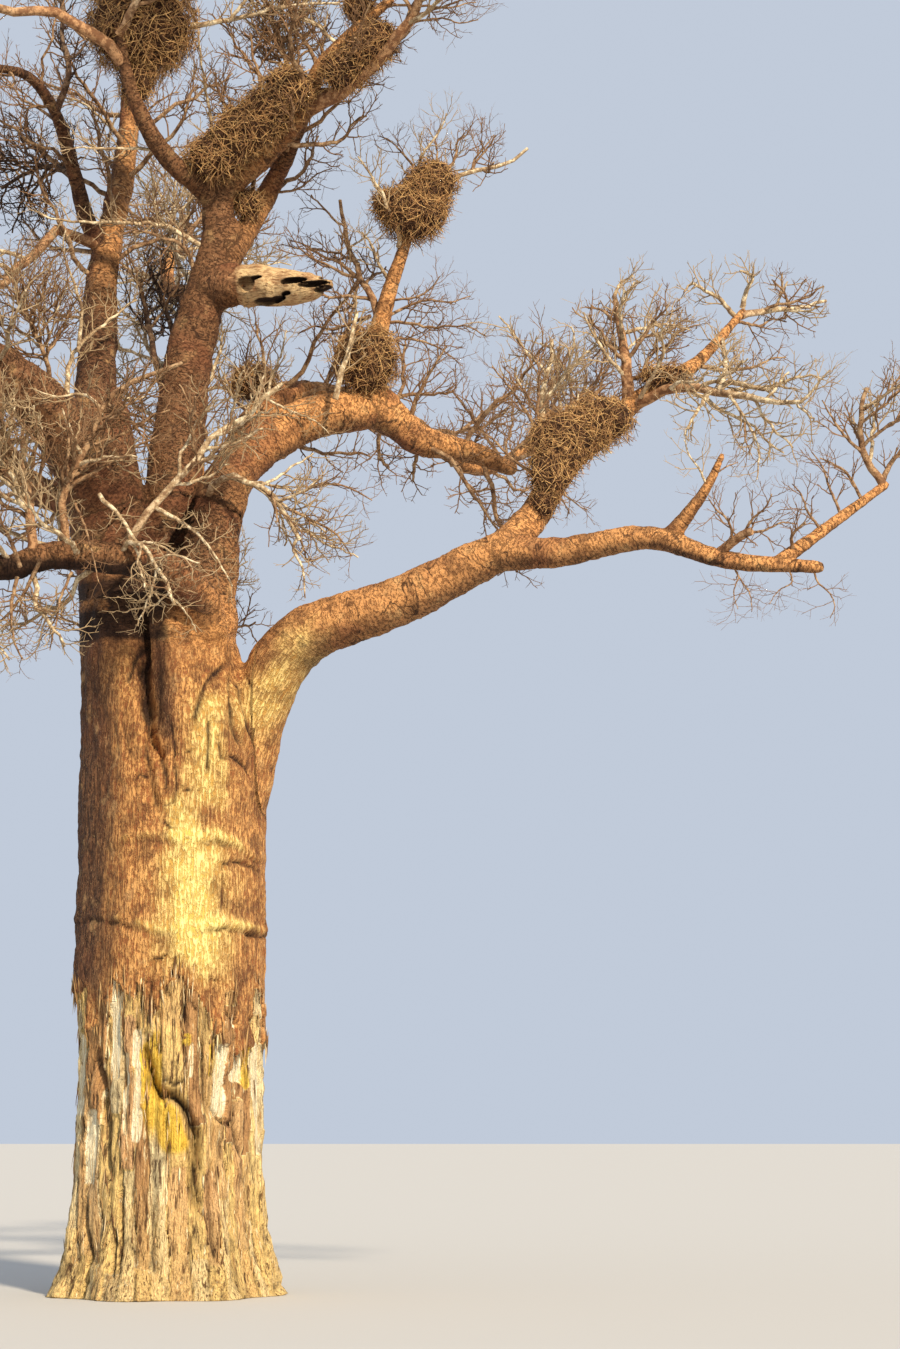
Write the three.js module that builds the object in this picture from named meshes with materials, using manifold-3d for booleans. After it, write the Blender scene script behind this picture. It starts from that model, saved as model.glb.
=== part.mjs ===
// A baobab in its dry season, about 23.5 m tall: a swollen trunk fluted at its foot, three great stems
// that part at its top, long boughs that bend and divide, and a bare crown of sprays of twigs.
// Bulky nests of sticks sit in the forks and along the upper limbs.
//
// The tree stands on the ground plane at the origin. X runs to the right of the side it is usually
// seen from, Y runs away behind it, and Z is up. Every length is in millimetres.
// Limbs are tapering tubes along smooth paths, and each is cut clear of the limbs it grows from.
// Sprays grow by one seeded rule inside a space of their own. Nests are lumps with sticks standing out.

import * as THREE from 'three';
import Module from 'manifold-3d';

const wasm = await Module();
wasm.setup();

// The air left between two pieces that meet.
const GAP = 0.36;

// The trunk: its waist, the flare of its foot, and the shoulder where the stems part.
const TRUNK_WAIST = 1400;
const FLARE = 270;
const FLARE_HEIGHT = 700;
const SHOULDER_START = 8000;
const SHOULDER_HEIGHT = 10300;
const SHOULDER_RADIUS = 1170;
const SHOULDER_SHIFT = -320;
const TRUNK_TOP = 10750;
const FOOT_FLUTES = 7;
const FOOT_FLUTE_DEPTH = 70;
const FLUTES_ABOVE_FOOT = 0.25;
const FLUTE_START_TURN = 0.6;
const FOLD_DEPTH = 170;
const FOLD_WIDTH = 0.24;
const FOLD_FOOT = 6400;
const FOLD_FULL = 8800;
const FOLD_TURN = -1.6;
const FOLD_SLANT = -0.16;
const TRUNK_SIDES = 40;
const TRUNK_LEVELS = [0, 300, 750, 1500, 2800, 4050, 4450, 6800, 7800, 8500, 9200, 9800, 10300];

// The foot has been stripped of its bark, which leaves it slimmer and more deeply fluted, with clefts
// between planks of torn wood. A cleft runs through points given as a turn round the trunk and a height.
const STRIP_DEPTH = 75;
const STRIP_FOOT = 4050;
const STRIP_TOP = 4450;
const STRIPPED_FLUTES = 0.35;
const CLEFT_OUTSIDE = 60;
const CLEFT_END = 0.35;
const CLEFTS = [
  {
    depth: 150, width: 80,
    line: [[-1.65, 3400], [-1.54, 2860], [-1.39, 2880], [-1.16, 2280], [-1.19, 1550], [-1.09, 1100]],
  },
  { depth: 120, width: 55, line: [[-2.33, 3450], [-2.24, 1500]] },
  { depth: 100, width: 50, line: [[-1.06, 3750], [-0.99, 2000], [-0.94, 900]] },
];

// The limbs, each from inside the limb that carries it to its tip. thick and thin are its radii,
// and collar is how much wider it swells where it leaves, as a share of thick.
const COLLAR = 0.12;
const COLLAR_LENGTH = 1000;
const LIMB_TIP = 0.5;
const LIMBS = {
  left_stem: {
    way: [[-600, -20, 9600], [-840, -60, 10720], [-1060, 0, 11690], [-1250, 120, 12750],
      [-1330, 200, 13300]],
    thick: 690, thin: 520, sides: 12, steps: 6,
  },
  centre_stem: {
    way: [[-320, 300, 9900], [-190, 400, 11780], [-30, 430, 13400], [90, 400, 14530], [400, 280, 15600],
      [600, 200, 16400]],
    thick: 500, thin: 310, sides: 10, steps: 8,
  },
  right_high_bough: {
    way: [[450, -100, 10010], [500, 0, 11050], [650, 200, 12130], [1060, 450, 12840], [1820, 700, 13420],
      [3110, 1000, 13780]],
    thick: 450, thin: 310, sides: 10, steps: 9,
  },
  right_low_bough: {
    way: [[860, -60, 7350], [990, -100, 7950], [1180, -150, 8550], [1430, -230, 9080],
      [1920, -400, 9720], [3450, -1000, 10220], [5050, -1500, 10910]],
    thick: 550, thin: 290, sides: 10, steps: 11,
  },
  right_low_riser: {
    way: [[4960, -1500, 10850], [5400, -1350, 11370], [5990, -1000, 12350], [6490, -750, 12840],
      [6980, -350, 13420], [8080, 500, 14330], [8930, 1200, 15410]],
    thick: 250, thin: 62, sides: 8, steps: 8,
  },
  right_arm: {
    way: [[4880, -1450, 10850], [5820, -1900, 10760], [7100, -2400, 10860], [8150, -2800, 10450],
      [9440, -3100, 10280]],
    thick: 245, thin: 90, sides: 8, steps: 8,
  },
  right_arm_riser: {
    way: [[8920, -2950, 10390], [9340, -2850, 10710], [10540, -2400, 11650]],
    thick: 98, thin: 64, sides: 7, steps: 4,
  },
  broken_spar: {
    way: [[7360, -2450, 10820], [7660, -2700, 11180], [7920, -2850, 11540], [8110, -2950, 11940]],
    thick: 125, thin: 45, sides: 7, steps: 4,
  },
  right_high_outer_bough: {
    way: [[3000, 980, 13780], [3420, 1150, 13490], [3660, 1200, 13290], [4600, 1500, 13140],
      [5170, 1700, 12940]],
    thick: 300, thin: 125, sides: 8, steps: 7,
  },
  nest_spar: {
    way: [[2960, 950, 13840], [2980, 900, 14600], [3240, 750, 15630], [3590, 500, 16630]],
    thick: 215, thin: 70, sides: 8, steps: 6,
  },
  centre_right_limb: {
    way: [[580, 200, 16160], [570, 100, 16990], [1230, -100, 17560], [1940, -500, 18210],
      [2130, -650, 18730], [2500, -850, 19110], [3270, -1100, 19730]],
    thick: 255, thin: 72, sides: 8, steps: 8,
  },
  centre_left_limb: {
    way: [[570, 200, 16190], [430, 50, 16890], [-100, -500, 17240], [-340, -800, 17460],
      [-700, -1300, 18140], [-890, -1600, 19020]],
    thick: 200, thin: 80, sides: 8, steps: 8,
  },
  centre_prop_limb: {
    way: [[700, 200, 16010], [1030, 600, 16750], [1240, 750, 17210], [1540, 500, 17720],
      [1910, -300, 18210]],
    thick: 205, thin: 112, sides: 7, steps: 6,
  },
  hollow_stub: {
    way: [[500, 250, 15540], [1260, -200, 15390], [1800, -500, 15260], [2280, -800, 15210]],
    thick: 320, thin: 110, sides: 10, steps: 5,
  },
  left_centre_limb: {
    way: [[-1330, 300, 13100], [-1400, 550, 14080], [-1410, 850, 15000], [-1420, 1200, 16110],
      [-1300, 1600, 17270], [-1220, 1900, 18040], [-1200, 2400, 19860], [-1490, 2800, 21650]],
    thick: 330, thin: 88, sides: 8, steps: 10,
  },
  left_curving_limb: {
    way: [[-1440, 1250, 16470], [-1680, 1150, 16910], [-1850, 900, 17530], [-2110, 200, 18410],
      [-2430, -350, 18760], [-2990, -1200, 18600]],
    thick: 135, thin: 62, sides: 7, steps: 8,
  },
  left_high_bough: {
    way: [[-1160, -100, 11980], [-1490, -400, 12620], [-1910, -750, 13160], [-2810, -1400, 13800],
      [-4230, -2200, 14560], [-5600, -2500, 15250], [-7000, -2300, 16400]],
    thick: 520, thin: 115, sides: 10, steps: 10,
  },
  front_low_bough: {
    way: [[560, -450, 9600], [450, -1150, 10200], [-20, -1600, 10560], [-960, -1800, 10720],
      [-1700, -1920, 10700], [-2300, -2200, 10460], [-3400, -3200, 10600], [-4800, -4700, 11700]],
    thick: 300, thin: 90, sides: 8, steps: 11,
  },
  back_right_bough: {
    way: [[300, 500, 10700], [630, 1300, 12700], [1350, 2700, 14400], [2450, 3900, 14700],
      [3450, 4900, 14600], [4700, 6000, 14000], [5800, 6700, 14700]],
    thick: 320, thin: 92, sides: 8, steps: 10,
  },
  back_bough: {
    way: [[-350, 600, 10200], [-100, 1700, 12900], [-350, 3200, 14700], [-300, 4700, 16700],
      [-900, 6100, 17400], [-1000, 7200, 18500]],
    thick: 400, thin: 95, sides: 8, steps: 9,
  },
  back_left_bough: {
    way: [[-650, 600, 10000], [-1500, 1800, 12200], [-2900, 3100, 13000], [-4000, 4500, 14500],
      [-5400, 5300, 14900]],
    thick: 380, thin: 95, sides: 8, steps: 9,
  },
  rear_low_bough: {
    way: [[0, 800, 8600], [50, 2200, 10000], [-400, 3700, 10300], [-300, 5300, 11500],
      [-900, 6600, 11700]],
    thick: 400, thin: 95, collar: 0.4, sides: 8, steps: 8,
  },
};

// The hollows rotted through the dead stub: an eye by the stem, a slit near the tip and one below.
const STUB_HOLLOWS = [
  { at: [960, -330, 15450], size: [150, 190, 120] },
  { at: [1820, -680, 15320], size: [220, 160, 60] },
  { at: [1330, -360, 15130], size: [180, 170, 60] },
];

// The nests of sticks: lumps that overlap, each with its half sizes.
const NEST_ROUGHNESS = 0.22;
const NEST_STICK = 20;
const NEST_STICK_ROOT = 0.7;
const NEST_STICK_LENGTH = 0.5;
const NEST_STICK_LEAN = 0.9;
const NEST_SLIVER = 45;
const NESTS = {
  top_nest: { lumps: [{ at: [-600, -1000, 19340], size: [870, 850, 870] }], sticks: 10 },
  limb_nest_left: {
    lumps: [{ at: [500, -420, 17410], size: [500, 400, 380] },
      { at: [1070, -560, 17850], size: [540, 420, 420] },
      { at: [1670, -760, 18360], size: [470, 400, 420] }],
    sticks: 5,
  },
  limb_nest_right: {
    lumps: [{ at: [2570, -1000, 18590], size: [400, 340, 360] },
      { at: [3070, -1300, 18950], size: [370, 330, 370] }],
    sticks: 6,
  },
  spar_nest: {
    lumps: [{ at: [3910, 500, 17350], size: [430, 400, 380] },
      { at: [3630, 450, 16800], size: [570, 480, 480] },
      { at: [3210, 450, 16950], size: [290, 280, 270] }],
    sticks: 6,
  },
  spar_foot_nest: { lumps: [{ at: [2880, 750, 14440], size: [530, 490, 620] }], sticks: 6 },
  right_crown_nest: {
    lumps: [{ at: [5880, -1280, 12600], size: [560, 440, 450] },
      { at: [6500, -980, 13020], size: [520, 430, 390] },
      { at: [5700, -1500, 12060], size: [350, 310, 420] }],
    sticks: 5,
  },
};

// The sprays of bare twigs. Each has a stem, as a path from inside its limb, or else from a share of
// the way along its limb through the middle of its space. thick and thin are the stem's radii, and
// the space is given by its centre and half sizes.
const SPRAYS = {
  right_tip_spray: {
    way: [[10520, -2400, 11640], [10260, -2500, 12000], [10160, -2600, 12330], [10190, -2700, 12790],
      [10270, -2700, 13030]],
    thick: 64, thin: 30, centre: [10780, -2400, 12330], reach: [1100, 1100, 960],
  },
  far_right_spray: {
    way: [[8890, 1150, 15320], [9440, 1500, 15540], [9940, 1800, 15650], [10400, 2000, 15850]],
    thick: 63, thin: 25, centre: [9500, 1600, 15670], reach: [1310, 1200, 690],
  },
  low_right_crown_spray: {
    way: [[6980, -350, 13390], [7610, -800, 13580], [8030, -1200, 13450], [8710, -1800, 13110],
      [9360, -2300, 12930]],
    thick: 96, thin: 31, centre: [8620, -1900, 12920], reach: [1340, 1100, 770],
  },
  right_crown_spray: {
    way: [[6920, -350, 13310], [6960, -300, 13840], [6920, -200, 14350], [6830, 0, 14930],
      [6790, 200, 15350]],
    thick: 116, thin: 39, centre: [7180, 0, 14700], reach: [1130, 1500, 880],
  },
  inner_right_crown_spray: {
    way: [[5570, -1200, 11650], [5600, -400, 12850], [5680, 0, 13840], [5800, 200, 14630]],
    thick: 64, thin: 31, centre: [5410, -100, 13740], reach: [1180, 1300, 1030],
  },
  spar_tip_spray: {
    way: [[3470, 550, 16230], [3880, 800, 17330], [4230, 900, 17570], [4990, 900, 17770],
      [5460, 900, 18070]],
    thick: 60, thin: 25, centre: [4040, 800, 17870], reach: [1520, 1300, 810],
  },
  mid_spray: {
    way: [[3070, 800, 15070], [2900, 1000, 15730], [2680, 1100, 16010], [2580, 1150, 16430],
      [2410, 1200, 17300]],
    thick: 69, thin: 28, centre: [2120, 1300, 15840], reach: [940, 1100, 1570],
  },
  right_low_spray: {
    way: [[450, 50, 11900], [590, -500, 12150], [1060, -750, 12200], [1570, -800, 11760],
      [1920, -700, 11210]],
    thick: 62, thin: 31, centre: [2170, -300, 11620], reach: [1200, 1100, 1150],
  },
  centre_limb_spray: {
    way: [[1870, -450, 18380], [1620, -300, 19030], [1460, -100, 19530], [1240, 200, 20170]],
    thick: 48, thin: 25, centre: [1560, 100, 19840], reach: [800, 1300, 830],
  },
  centre_fork_spray: {
    way: [[1940, -500, 18160], [2570, -950, 18310], [3150, -1350, 18690], [3510, -1700, 19060],
      [3770, -2000, 19460], [4050, -2300, 20000]],
    thick: 134, thin: 47, centre: [4280, -2400, 20110], reach: [1330, 1600, 1090],
  },
  centre_high_spray: {
    way: [[3230, -1100, 19680], [3070, -1000, 20190], [2810, -700, 20910], [2520, -300, 21700]],
    thick: 71, thin: 32, centre: [2530, -400, 21090], reach: [1240, 1600, 1050],
  },
  centre_left_tip_spray: {
    way: [[-890, -1600, 18940], [-660, -1800, 19260], [-360, -2100, 19770], [-120, -2300, 20320]],
    thick: 73, thin: 32, centre: [-200, -2200, 20080], reach: [1180, 1500, 910],
  },
  left_centre_tip_spray: {
    way: [[-1490, 2800, 21580], [-1890, 3100, 22330], [-2320, 3300, 23020], [-2720, 3500, 23600]],
    thick: 75, thin: 33, centre: [-2490, 3300, 22870], reach: [1530, 1700, 1080],
  },
  top_left_spray: {
    way: [[-840, -1450, 18560], [-1170, -1700, 18720], [-1310, -1800, 18950], [-1740, -2000, 19120],
      [-2300, -2200, 19030], [-2870, -2400, 19090], [-3590, -2600, 19300]],
    thick: 103, thin: 47, centre: [-3850, -2500, 19550], reach: [1350, 1500, 930],
  },
  left_curving_spray: {
    way: [[-2950, -1150, 18620], [-3210, -1400, 18450], [-3620, -1600, 18080], [-4150, -1800, 17610]],
    thick: 60, thin: 31, centre: [-4170, -1600, 17890], reach: [1340, 1500, 890],
  },
  left_side_spray: {
    way: [[-1830, 900, 17500], [-2320, 1400, 17970], [-2760, 1700, 17970], [-3240, 2000, 17800]],
    thick: 54, thin: 29, centre: [-2880, 1800, 17860], reach: [1090, 1300, 1090],
  },
  left_drooping_spray: {
    way: [[-1510, 1200, 16520], [-2070, 800, 16650], [-2260, 600, 16530], [-2400, 400, 16110],
      [-2870, 0, 15450], [-3530, -200, 15220], [-4150, -300, 15520]],
    thick: 96, thin: 54, centre: [-4230, -200, 15910], reach: [1280, 1300, 1100],
  },
  left_rising_spray: {
    way: [[-1880, -600, 13560], [-1980, -850, 14010], [-2150, -950, 14430], [-2290, -1050, 14760],
      [-2550, -1150, 15280]],
    thick: 40, thin: 23, centre: [-1890, -1000, 14810], reach: [980, 900, 1100],
  },
  front_left_spray: {
    way: [[-1440, -1850, 10730], [-1520, -2000, 11370], [-1380, -2050, 11950], [-1170, -2050, 12270],
      [-970, -2000, 12890], [-820, -1950, 13240], [-420, -1850, 13410], [190, -1700, 13700]],
    thick: 68, thin: 29, centre: [-650, -2000, 12550], reach: [1300, 900, 1300],
  },
  left_front_spray: {
    way: [[-1950, -2020, 10620], [-1950, -2200, 11400], [-2050, -2300, 11970], [-2370, -2450, 12300],
      [-2900, -2600, 12570]],
    thick: 82, thin: 50, centre: [-2900, -2600, 12270], reach: [1220, 1300, 1190],
  },
  front_spray: {
    way: [[-640, -1750, 10790], [-400, -1950, 11170], [-110, -2000, 11480], [210, -2000, 11860],
      [630, -1950, 12450], [1010, -1850, 12700], [1480, -1700, 13110], [1690, -1650, 13390]],
    thick: 65, thin: 32, centre: [900, -1850, 12750], reach: [1220, 900, 1340],
  },
  hanging_spray: {
    way: [[-640, -1800, 10720], [-420, -2250, 10900], [-170, -2350, 10590], [80, -2350, 10260],
      [210, -2250, 9900]],
    thick: 44, thin: 24, centre: [60, -2250, 9880], reach: [900, 650, 750],
  },
  stem_gap_spray: {
    way: [[-150, 750, 13490], [-450, 1100, 14240], [-650, 1300, 15140], [-850, 1500, 16040]],
    thick: 70, thin: 32, centre: [-550, 1400, 16100], reach: [750, 1100, 1300],
  },
  left_high_tip_spray: {
    limb: 'left_high_bough', at: 0.97, thick: 92, thin: 36,
    centre: [-8200, -2100, 17400], reach: [2300, 2200, 1700],
  },
  left_high_side_spray: {
    limb: 'left_high_bough', at: 0.62, thick: 84, thin: 34,
    centre: [-6200, -300, 17100], reach: [1700, 1900, 1500],
  },
  left_high_low_spray: {
    limb: 'left_high_bough', at: 0.72, thick: 84, thin: 34,
    centre: [-6900, -3100, 14100], reach: [1900, 1700, 1300],
  },
  front_tip_spray: {
    limb: 'front_low_bough', at: 0.97, thick: 70, thin: 30,
    centre: [-5700, -5600, 12700], reach: [2000, 2000, 1500],
  },
  back_right_tip_spray: {
    limb: 'back_right_bough', at: 0.97, thick: 74, thin: 30,
    centre: [6700, 7400, 15650], reach: [1350, 1900, 1050],
  },
  back_tip_spray: {
    limb: 'back_bough', at: 0.97, thick: 76, thin: 30,
    centre: [-900, 8400, 19400], reach: [2500, 2200, 1900],
  },
  back_left_tip_spray: {
    limb: 'back_left_bough', at: 0.97, thick: 76, thin: 30,
    centre: [-6400, 6500, 16200], reach: [2600, 2300, 1900],
  },
  rear_low_tip_spray: {
    limb: 'rear_low_bough', at: 0.97, thick: 76, thin: 30,
    centre: [-1300, 8100, 12700], reach: [2400, 2100, 1600],
  },
};

// The rule the sprays grow by, for the stem, its branches and their twigs.
const STEM_STEPS = 5;
const STEM_SIDES = 3;
const STEM_TIP = 90;
const STEM_SAG = 0.06;
const STEM_PAST_CENTRE = 0.3;
const TWIG_STEPS = 3;
const TWIG_SIDES = 3;
const TWIG_TIP = 14;
const GOLDEN_TURN = 2.399963;
const BRANCHES = { tries: 28, wanted: 5, first: 0.22, spread: 1, length: 1.35 };
const BRANCH_THICKEST = 40;
const BRANCH_SHARE = 0.62;
const BRANCH_TAPER = 0.45;
const TWIGS = { tries: 8, wanted: 2, first: 0.2, spread: 0.8, length: 0.55 };
const TWIG_SHARE = 0.75;
const SHORTENED = [1, 0.75, 0.5];
const LENGTH_AT_ROOT = 1.15;
const LENGTH_AT_TIP = 0.85;
const SPREAD_VARIES = 0.25;
const WANDER = 0.62;
const LIFT = 0.07;
const TURN_IN = 2.6;
const TURN_IN_START = 0.76;
const SPACE_MARGIN = 0.05;
const CLEARANCE = 70;
const NEST_CLEARANCE = 260;
const SLIVER = 6;

const vector = ([x, y, z]) => new THREE.Vector3(x, y, z);

// A number from 0 to 1, always the same for the same seed and draw.
function chance(seed, draw) {
  let h = Math.imul(seed ^ 0x9e3779b9, 0x85ebca6b) + Math.imul(draw + 1, 0xc2b2ae35);
  h = Math.imul(h ^ (h >>> 15), 0x2c1b3c6d);
  h = Math.imul(h ^ (h >>> 12), 0x297a2d39);
  return ((h ^ (h >>> 15)) >>> 0) / 4294967296;
}

// A solid from vertices and triangles.
function solidFrom(points, triangles) {
  const mesh = new wasm.Mesh({
    numProp: 3,
    vertProperties: new Float32Array(points.flatMap((p) => [p.x, p.y, p.z])),
    triVerts: new Uint32Array(triangles.flat()),
  });
  return new wasm.Manifold(mesh);
}

// A closed skin over rings of points that all have as many points, with a tip beyond the last ring.
function skinOver(rings, tip) {
  const sides = rings[0].length;
  const points = rings.flat();
  const triangles = [];
  for (let ring = 0; ring + 1 < rings.length; ring++) {
    for (let side = 0; side < sides; side++) {
      const a = ring * sides + side;
      const b = ring * sides + ((side + 1) % sides);
      triangles.push([a, b, b + sides], [a, b + sides, a + sides]);
    }
  }
  for (let side = 1; side + 1 < sides; side++) {
    triangles.push([0, side + 1, side]);
  }
  const last = (rings.length - 1) * sides;
  points.push(tip);
  for (let side = 0; side < sides; side++) {
    triangles.push([last + side, last + ((side + 1) % sides), points.length - 1]);
  }
  return solidFrom(points, triangles);
}

// The point straight on beyond a path's end.
function beyond(path, length) {
  const [before, end] = path.slice(-2);
  return end.clone().addScaledVector(end.clone().sub(before).normalize(), length);
}

// A tapering tube round a path, and on to a tip. radiusAt gives its radius for a share of the way
// along, and setBack moves its flat start back from the path's own start.
function tube(path, radiusAt, sides, tip, setBack = 0) {
  const heading = new THREE.Vector3();
  let across = null;
  const rings = path.map((point, index) => {
    const before = path[Math.max(index - 1, 0)];
    const after = path[Math.min(index + 1, path.length - 1)];
    heading.subVectors(after, before).normalize();
    across = across ?? new THREE.Vector3(heading.z, heading.x, heading.y);
    across = across.clone().addScaledVector(heading, -across.dot(heading)).normalize();
    const other = new THREE.Vector3().crossVectors(heading, across);
    const middle = point.clone().addScaledVector(heading, index === 0 ? -setBack : 0);
    const radius = radiusAt(index / (path.length - 1));
    return Array.from({ length: sides }, (_, side) => {
      const turn = (2 * Math.PI * side) / sides;
      return middle.clone()
        .addScaledVector(across, radius * Math.cos(turn))
        .addScaledVector(other, radius * Math.sin(turn));
    });
  });
  return skinOver(rings, tip);
}

// A straight twig that runs to a point.
function spike(from, to, radius) {
  const heading = to.clone().sub(from).normalize();
  const across = new THREE.Vector3(heading.z, heading.x, heading.y).cross(heading).normalize();
  const ring = Array.from({ length: TWIG_SIDES }, (_, side) => from.clone()
    .addScaledVector(across.clone().applyAxisAngle(heading, (2 * Math.PI * side) / TWIG_SIDES), radius));
  return skinOver([ring], to);
}

// The largest piece of a solid, so that loose scraps of a cut are dropped.
function largest(solid) {
  return solid.decompose().sort((a, b) => b.volume() - a.volume())[0];
}

// The share by which a value has passed from start to end, with a soft beginning and finish.
const ease = (value, start, end) => THREE.MathUtils.smoothstep(value, start, end);

// The trunk's radius at a height and a direction round it: a waist, a fluted and stripped flare at the
// foot, and a deep fold in front where the left stem and the rest of the trunk have grown together.
function trunkRadius(height, turn) {
  const flare = Math.exp(-height / FLARE_HEIGHT);
  const shoulder = ease(height, SHOULDER_START, SHOULDER_HEIGHT);
  const stripped = 1 - ease(height, STRIP_FOOT, STRIP_TOP);
  const flute = Math.cos(FOOT_FLUTES * turn + FLUTE_START_TURN);
  const flutes = FOOT_FLUTE_DEPTH * (flare + FLUTES_ABOVE_FOOT + STRIPPED_FLUTES * stripped) * flute;
  const foldTurn = FOLD_TURN + FOLD_SLANT * ease(height, FOLD_FOOT, SHOULDER_HEIGHT);
  const fold = Math.exp(-(((turn - foldTurn) / FOLD_WIDTH) ** 2)) * ease(height, FOLD_FOOT, FOLD_FULL);
  const round = TRUNK_WAIST + FLARE * flare + (SHOULDER_RADIUS - TRUNK_WAIST) * shoulder;
  return round + flutes * (1 - shoulder) - FOLD_DEPTH * fold - STRIP_DEPTH * stripped;
}

function trunkSolid(grow) {
  const rings = TRUNK_LEVELS.map((height) => {
    const shift = SHOULDER_SHIFT * ease(height, SHOULDER_START, SHOULDER_HEIGHT);
    const ring = [];
    for (let side = 0; side < TRUNK_SIDES; side++) {
      const turn = (2 * Math.PI * side) / TRUNK_SIDES - Math.PI;
      const radius = trunkRadius(height, turn) + grow;
      ring.push(new THREE.Vector3(shift + radius * Math.cos(turn), radius * Math.sin(turn), height));
    }
    return ring;
  });
  return skinOver(rings, new THREE.Vector3(SHOULDER_SHIFT, 0, TRUNK_TOP + grow));
}

// A cleft to cut into the trunk: a wedge along its line, narrower and shallower at both ends.
function cleftSolid({ depth, width, line }) {
  const corners = line.map(([turn, height], index) => {
    const open = index === 0 || index === line.length - 1 ? CLEFT_END : 1;
    const round = trunkRadius(height, turn);
    const half = open * width;
    const at = (radius, across, up) => [
      radius * Math.cos(turn + across / round),
      radius * Math.sin(turn + across / round),
      height + up,
    ];
    const rim = round + CLEFT_OUTSIDE;
    return [at(rim, -half, 0), at(rim, half, 0), at(rim, 0, half), at(rim, 0, -half),
      at(round - open * depth, 0, 0)];
  });
  const wedges = corners.slice(1).map((next, index) => wasm.Manifold.hull([...corners[index], ...next]));
  return wasm.Manifold.union(wedges);
}

function smoothCurve(way) {
  return new THREE.CatmullRomCurve3(way.map(vector), false, 'centripetal');
}

// A limb's smooth path, and its radius along the way.
function limbPath(limb) {
  return smoothCurve(limb.way).getSpacedPoints(limb.steps);
}

function limbRadius(limb, share) {
  const span = vector(limb.way[0]).distanceTo(vector(limb.way.at(-1)));
  const collar = (limb.collar ?? COLLAR) * Math.exp(-(share * span) / COLLAR_LENGTH);
  return (limb.thick + (limb.thin - limb.thick) * share) * (1 + collar);
}

function limbSolid(limb, grow) {
  const path = limbPath(limb);
  const radiusAt = (share) => limbRadius(limb, share) + grow;
  return tube(path, radiusAt, limb.sides, beyond(path, limb.thin * LIMB_TIP + grow), grow);
}

// The stem of a spray, as a smooth path.
function stemPath(spray) {
  if (spray.way) {
    return smoothCurve(spray.way).getSpacedPoints(STEM_STEPS);
  }
  const start = smoothCurve(LIMBS[spray.limb].way).getPointAt(spray.at);
  const away = vector(spray.centre).sub(start);
  const bend = start.clone().addScaledVector(away, 0.5);
  bend.z -= STEM_SAG * away.length();
  const end = vector(spray.centre).addScaledVector(away, STEM_PAST_CENTRE);
  return new THREE.CatmullRomCurve3([start, bend, vector(spray.centre), end]).getSpacedPoints(STEM_STEPS);
}

// A path's segments, with the radius of the wood round each.
function segmentsOf(path, radiusAt) {
  return path.slice(1).map((end, index) => ({
    line: new THREE.Line3(path[index], end),
    radius: radiusAt(index / (path.length - 1)),
  }));
}

// What twigs keep clear of: the limbs, the nests and the stems of other sprays.
const limbSegments = Object.values(LIMBS).flatMap(
  (limb) => segmentsOf(limbPath(limb), (share) => limbRadius(limb, share)),
);
const stemSegments = Object.values(SPRAYS).flatMap(
  (spray) => segmentsOf(stemPath(spray), () => spray.thick).map((segment) => ({ ...segment, spray })),
);
const nestLumps = Object.values(NESTS).flatMap((nest) => nest.lumps);

// How deep a point lies in a space: 0 at its centre, 1 on its skin.
function depthIn(point, centre, reach, grow = 0) {
  return Math.hypot(
    (point.x - centre[0]) / (reach[0] + grow),
    (point.y - centre[1]) / (reach[1] + grow),
    (point.z - centre[2]) / (reach[2] + grow),
  );
}

const closest = new THREE.Vector3();

function isNear(point, { line, radius }) {
  line.closestPointToPoint(point, true, closest);
  return closest.distanceTo(point) < radius + CLEARANCE;
}

function touchesNest(point) {
  return nestLumps.some((lump) => depthIn(point, lump.at, lump.size, NEST_CLEARANCE) < 1);
}

function touchesWood(point, spray) {
  if (point.z < TRUNK_TOP && Math.hypot(point.x, point.y) < trunkRadius(point.z, 1) + CLEARANCE) {
    return true;
  }
  return limbSegments.some((segment) => isNear(point, segment))
    || stemSegments.some((segment) => segment.spray !== spray && isNear(point, segment))
    || touchesNest(point);
}

// Whether a point is in a spray's own space, nearer its centre than any other spray's, and clear of wood.
function isFree(point, spray) {
  const own = depthIn(point, spray.centre, spray.reach);
  if (own > 1 || touchesWood(point, spray)) {
    return false;
  }
  return Object.values(SPRAYS).every(
    (other) => other === spray || depthIn(point, other.centre, other.reach) > own + SPACE_MARGIN,
  );
}

// One twig's path: it wanders, lifts and turns in where the space ends, and stops where it isn't free.
function twigPath(spray, seed, start, heading, length) {
  const path = [start];
  const going = heading.clone();
  const centre = vector(spray.centre);
  for (let step = 0; step < TWIG_STEPS; step++) {
    const last = path[path.length - 1];
    const inward = centre.clone().sub(last).normalize();
    const edge = Math.max(0, depthIn(last, spray.centre, spray.reach) - TURN_IN_START);
    going.x += WANDER * (chance(seed, 3 * step) - 0.5);
    going.y += WANDER * (chance(seed, 3 * step + 1) - 0.5);
    going.z += WANDER * (chance(seed, 3 * step + 2) - 0.5) + LIFT;
    going.addScaledVector(inward, TURN_IN * edge).normalize();
    const next = last.clone().addScaledVector(going, length / TWIG_STEPS);
    const middle = last.clone().lerp(next, 0.5);
    if (!isFree(next, spray) || (step > 0 && !isFree(middle, spray))) {
      break;
    }
    path.push(next);
  }
  return path;
}

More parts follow.
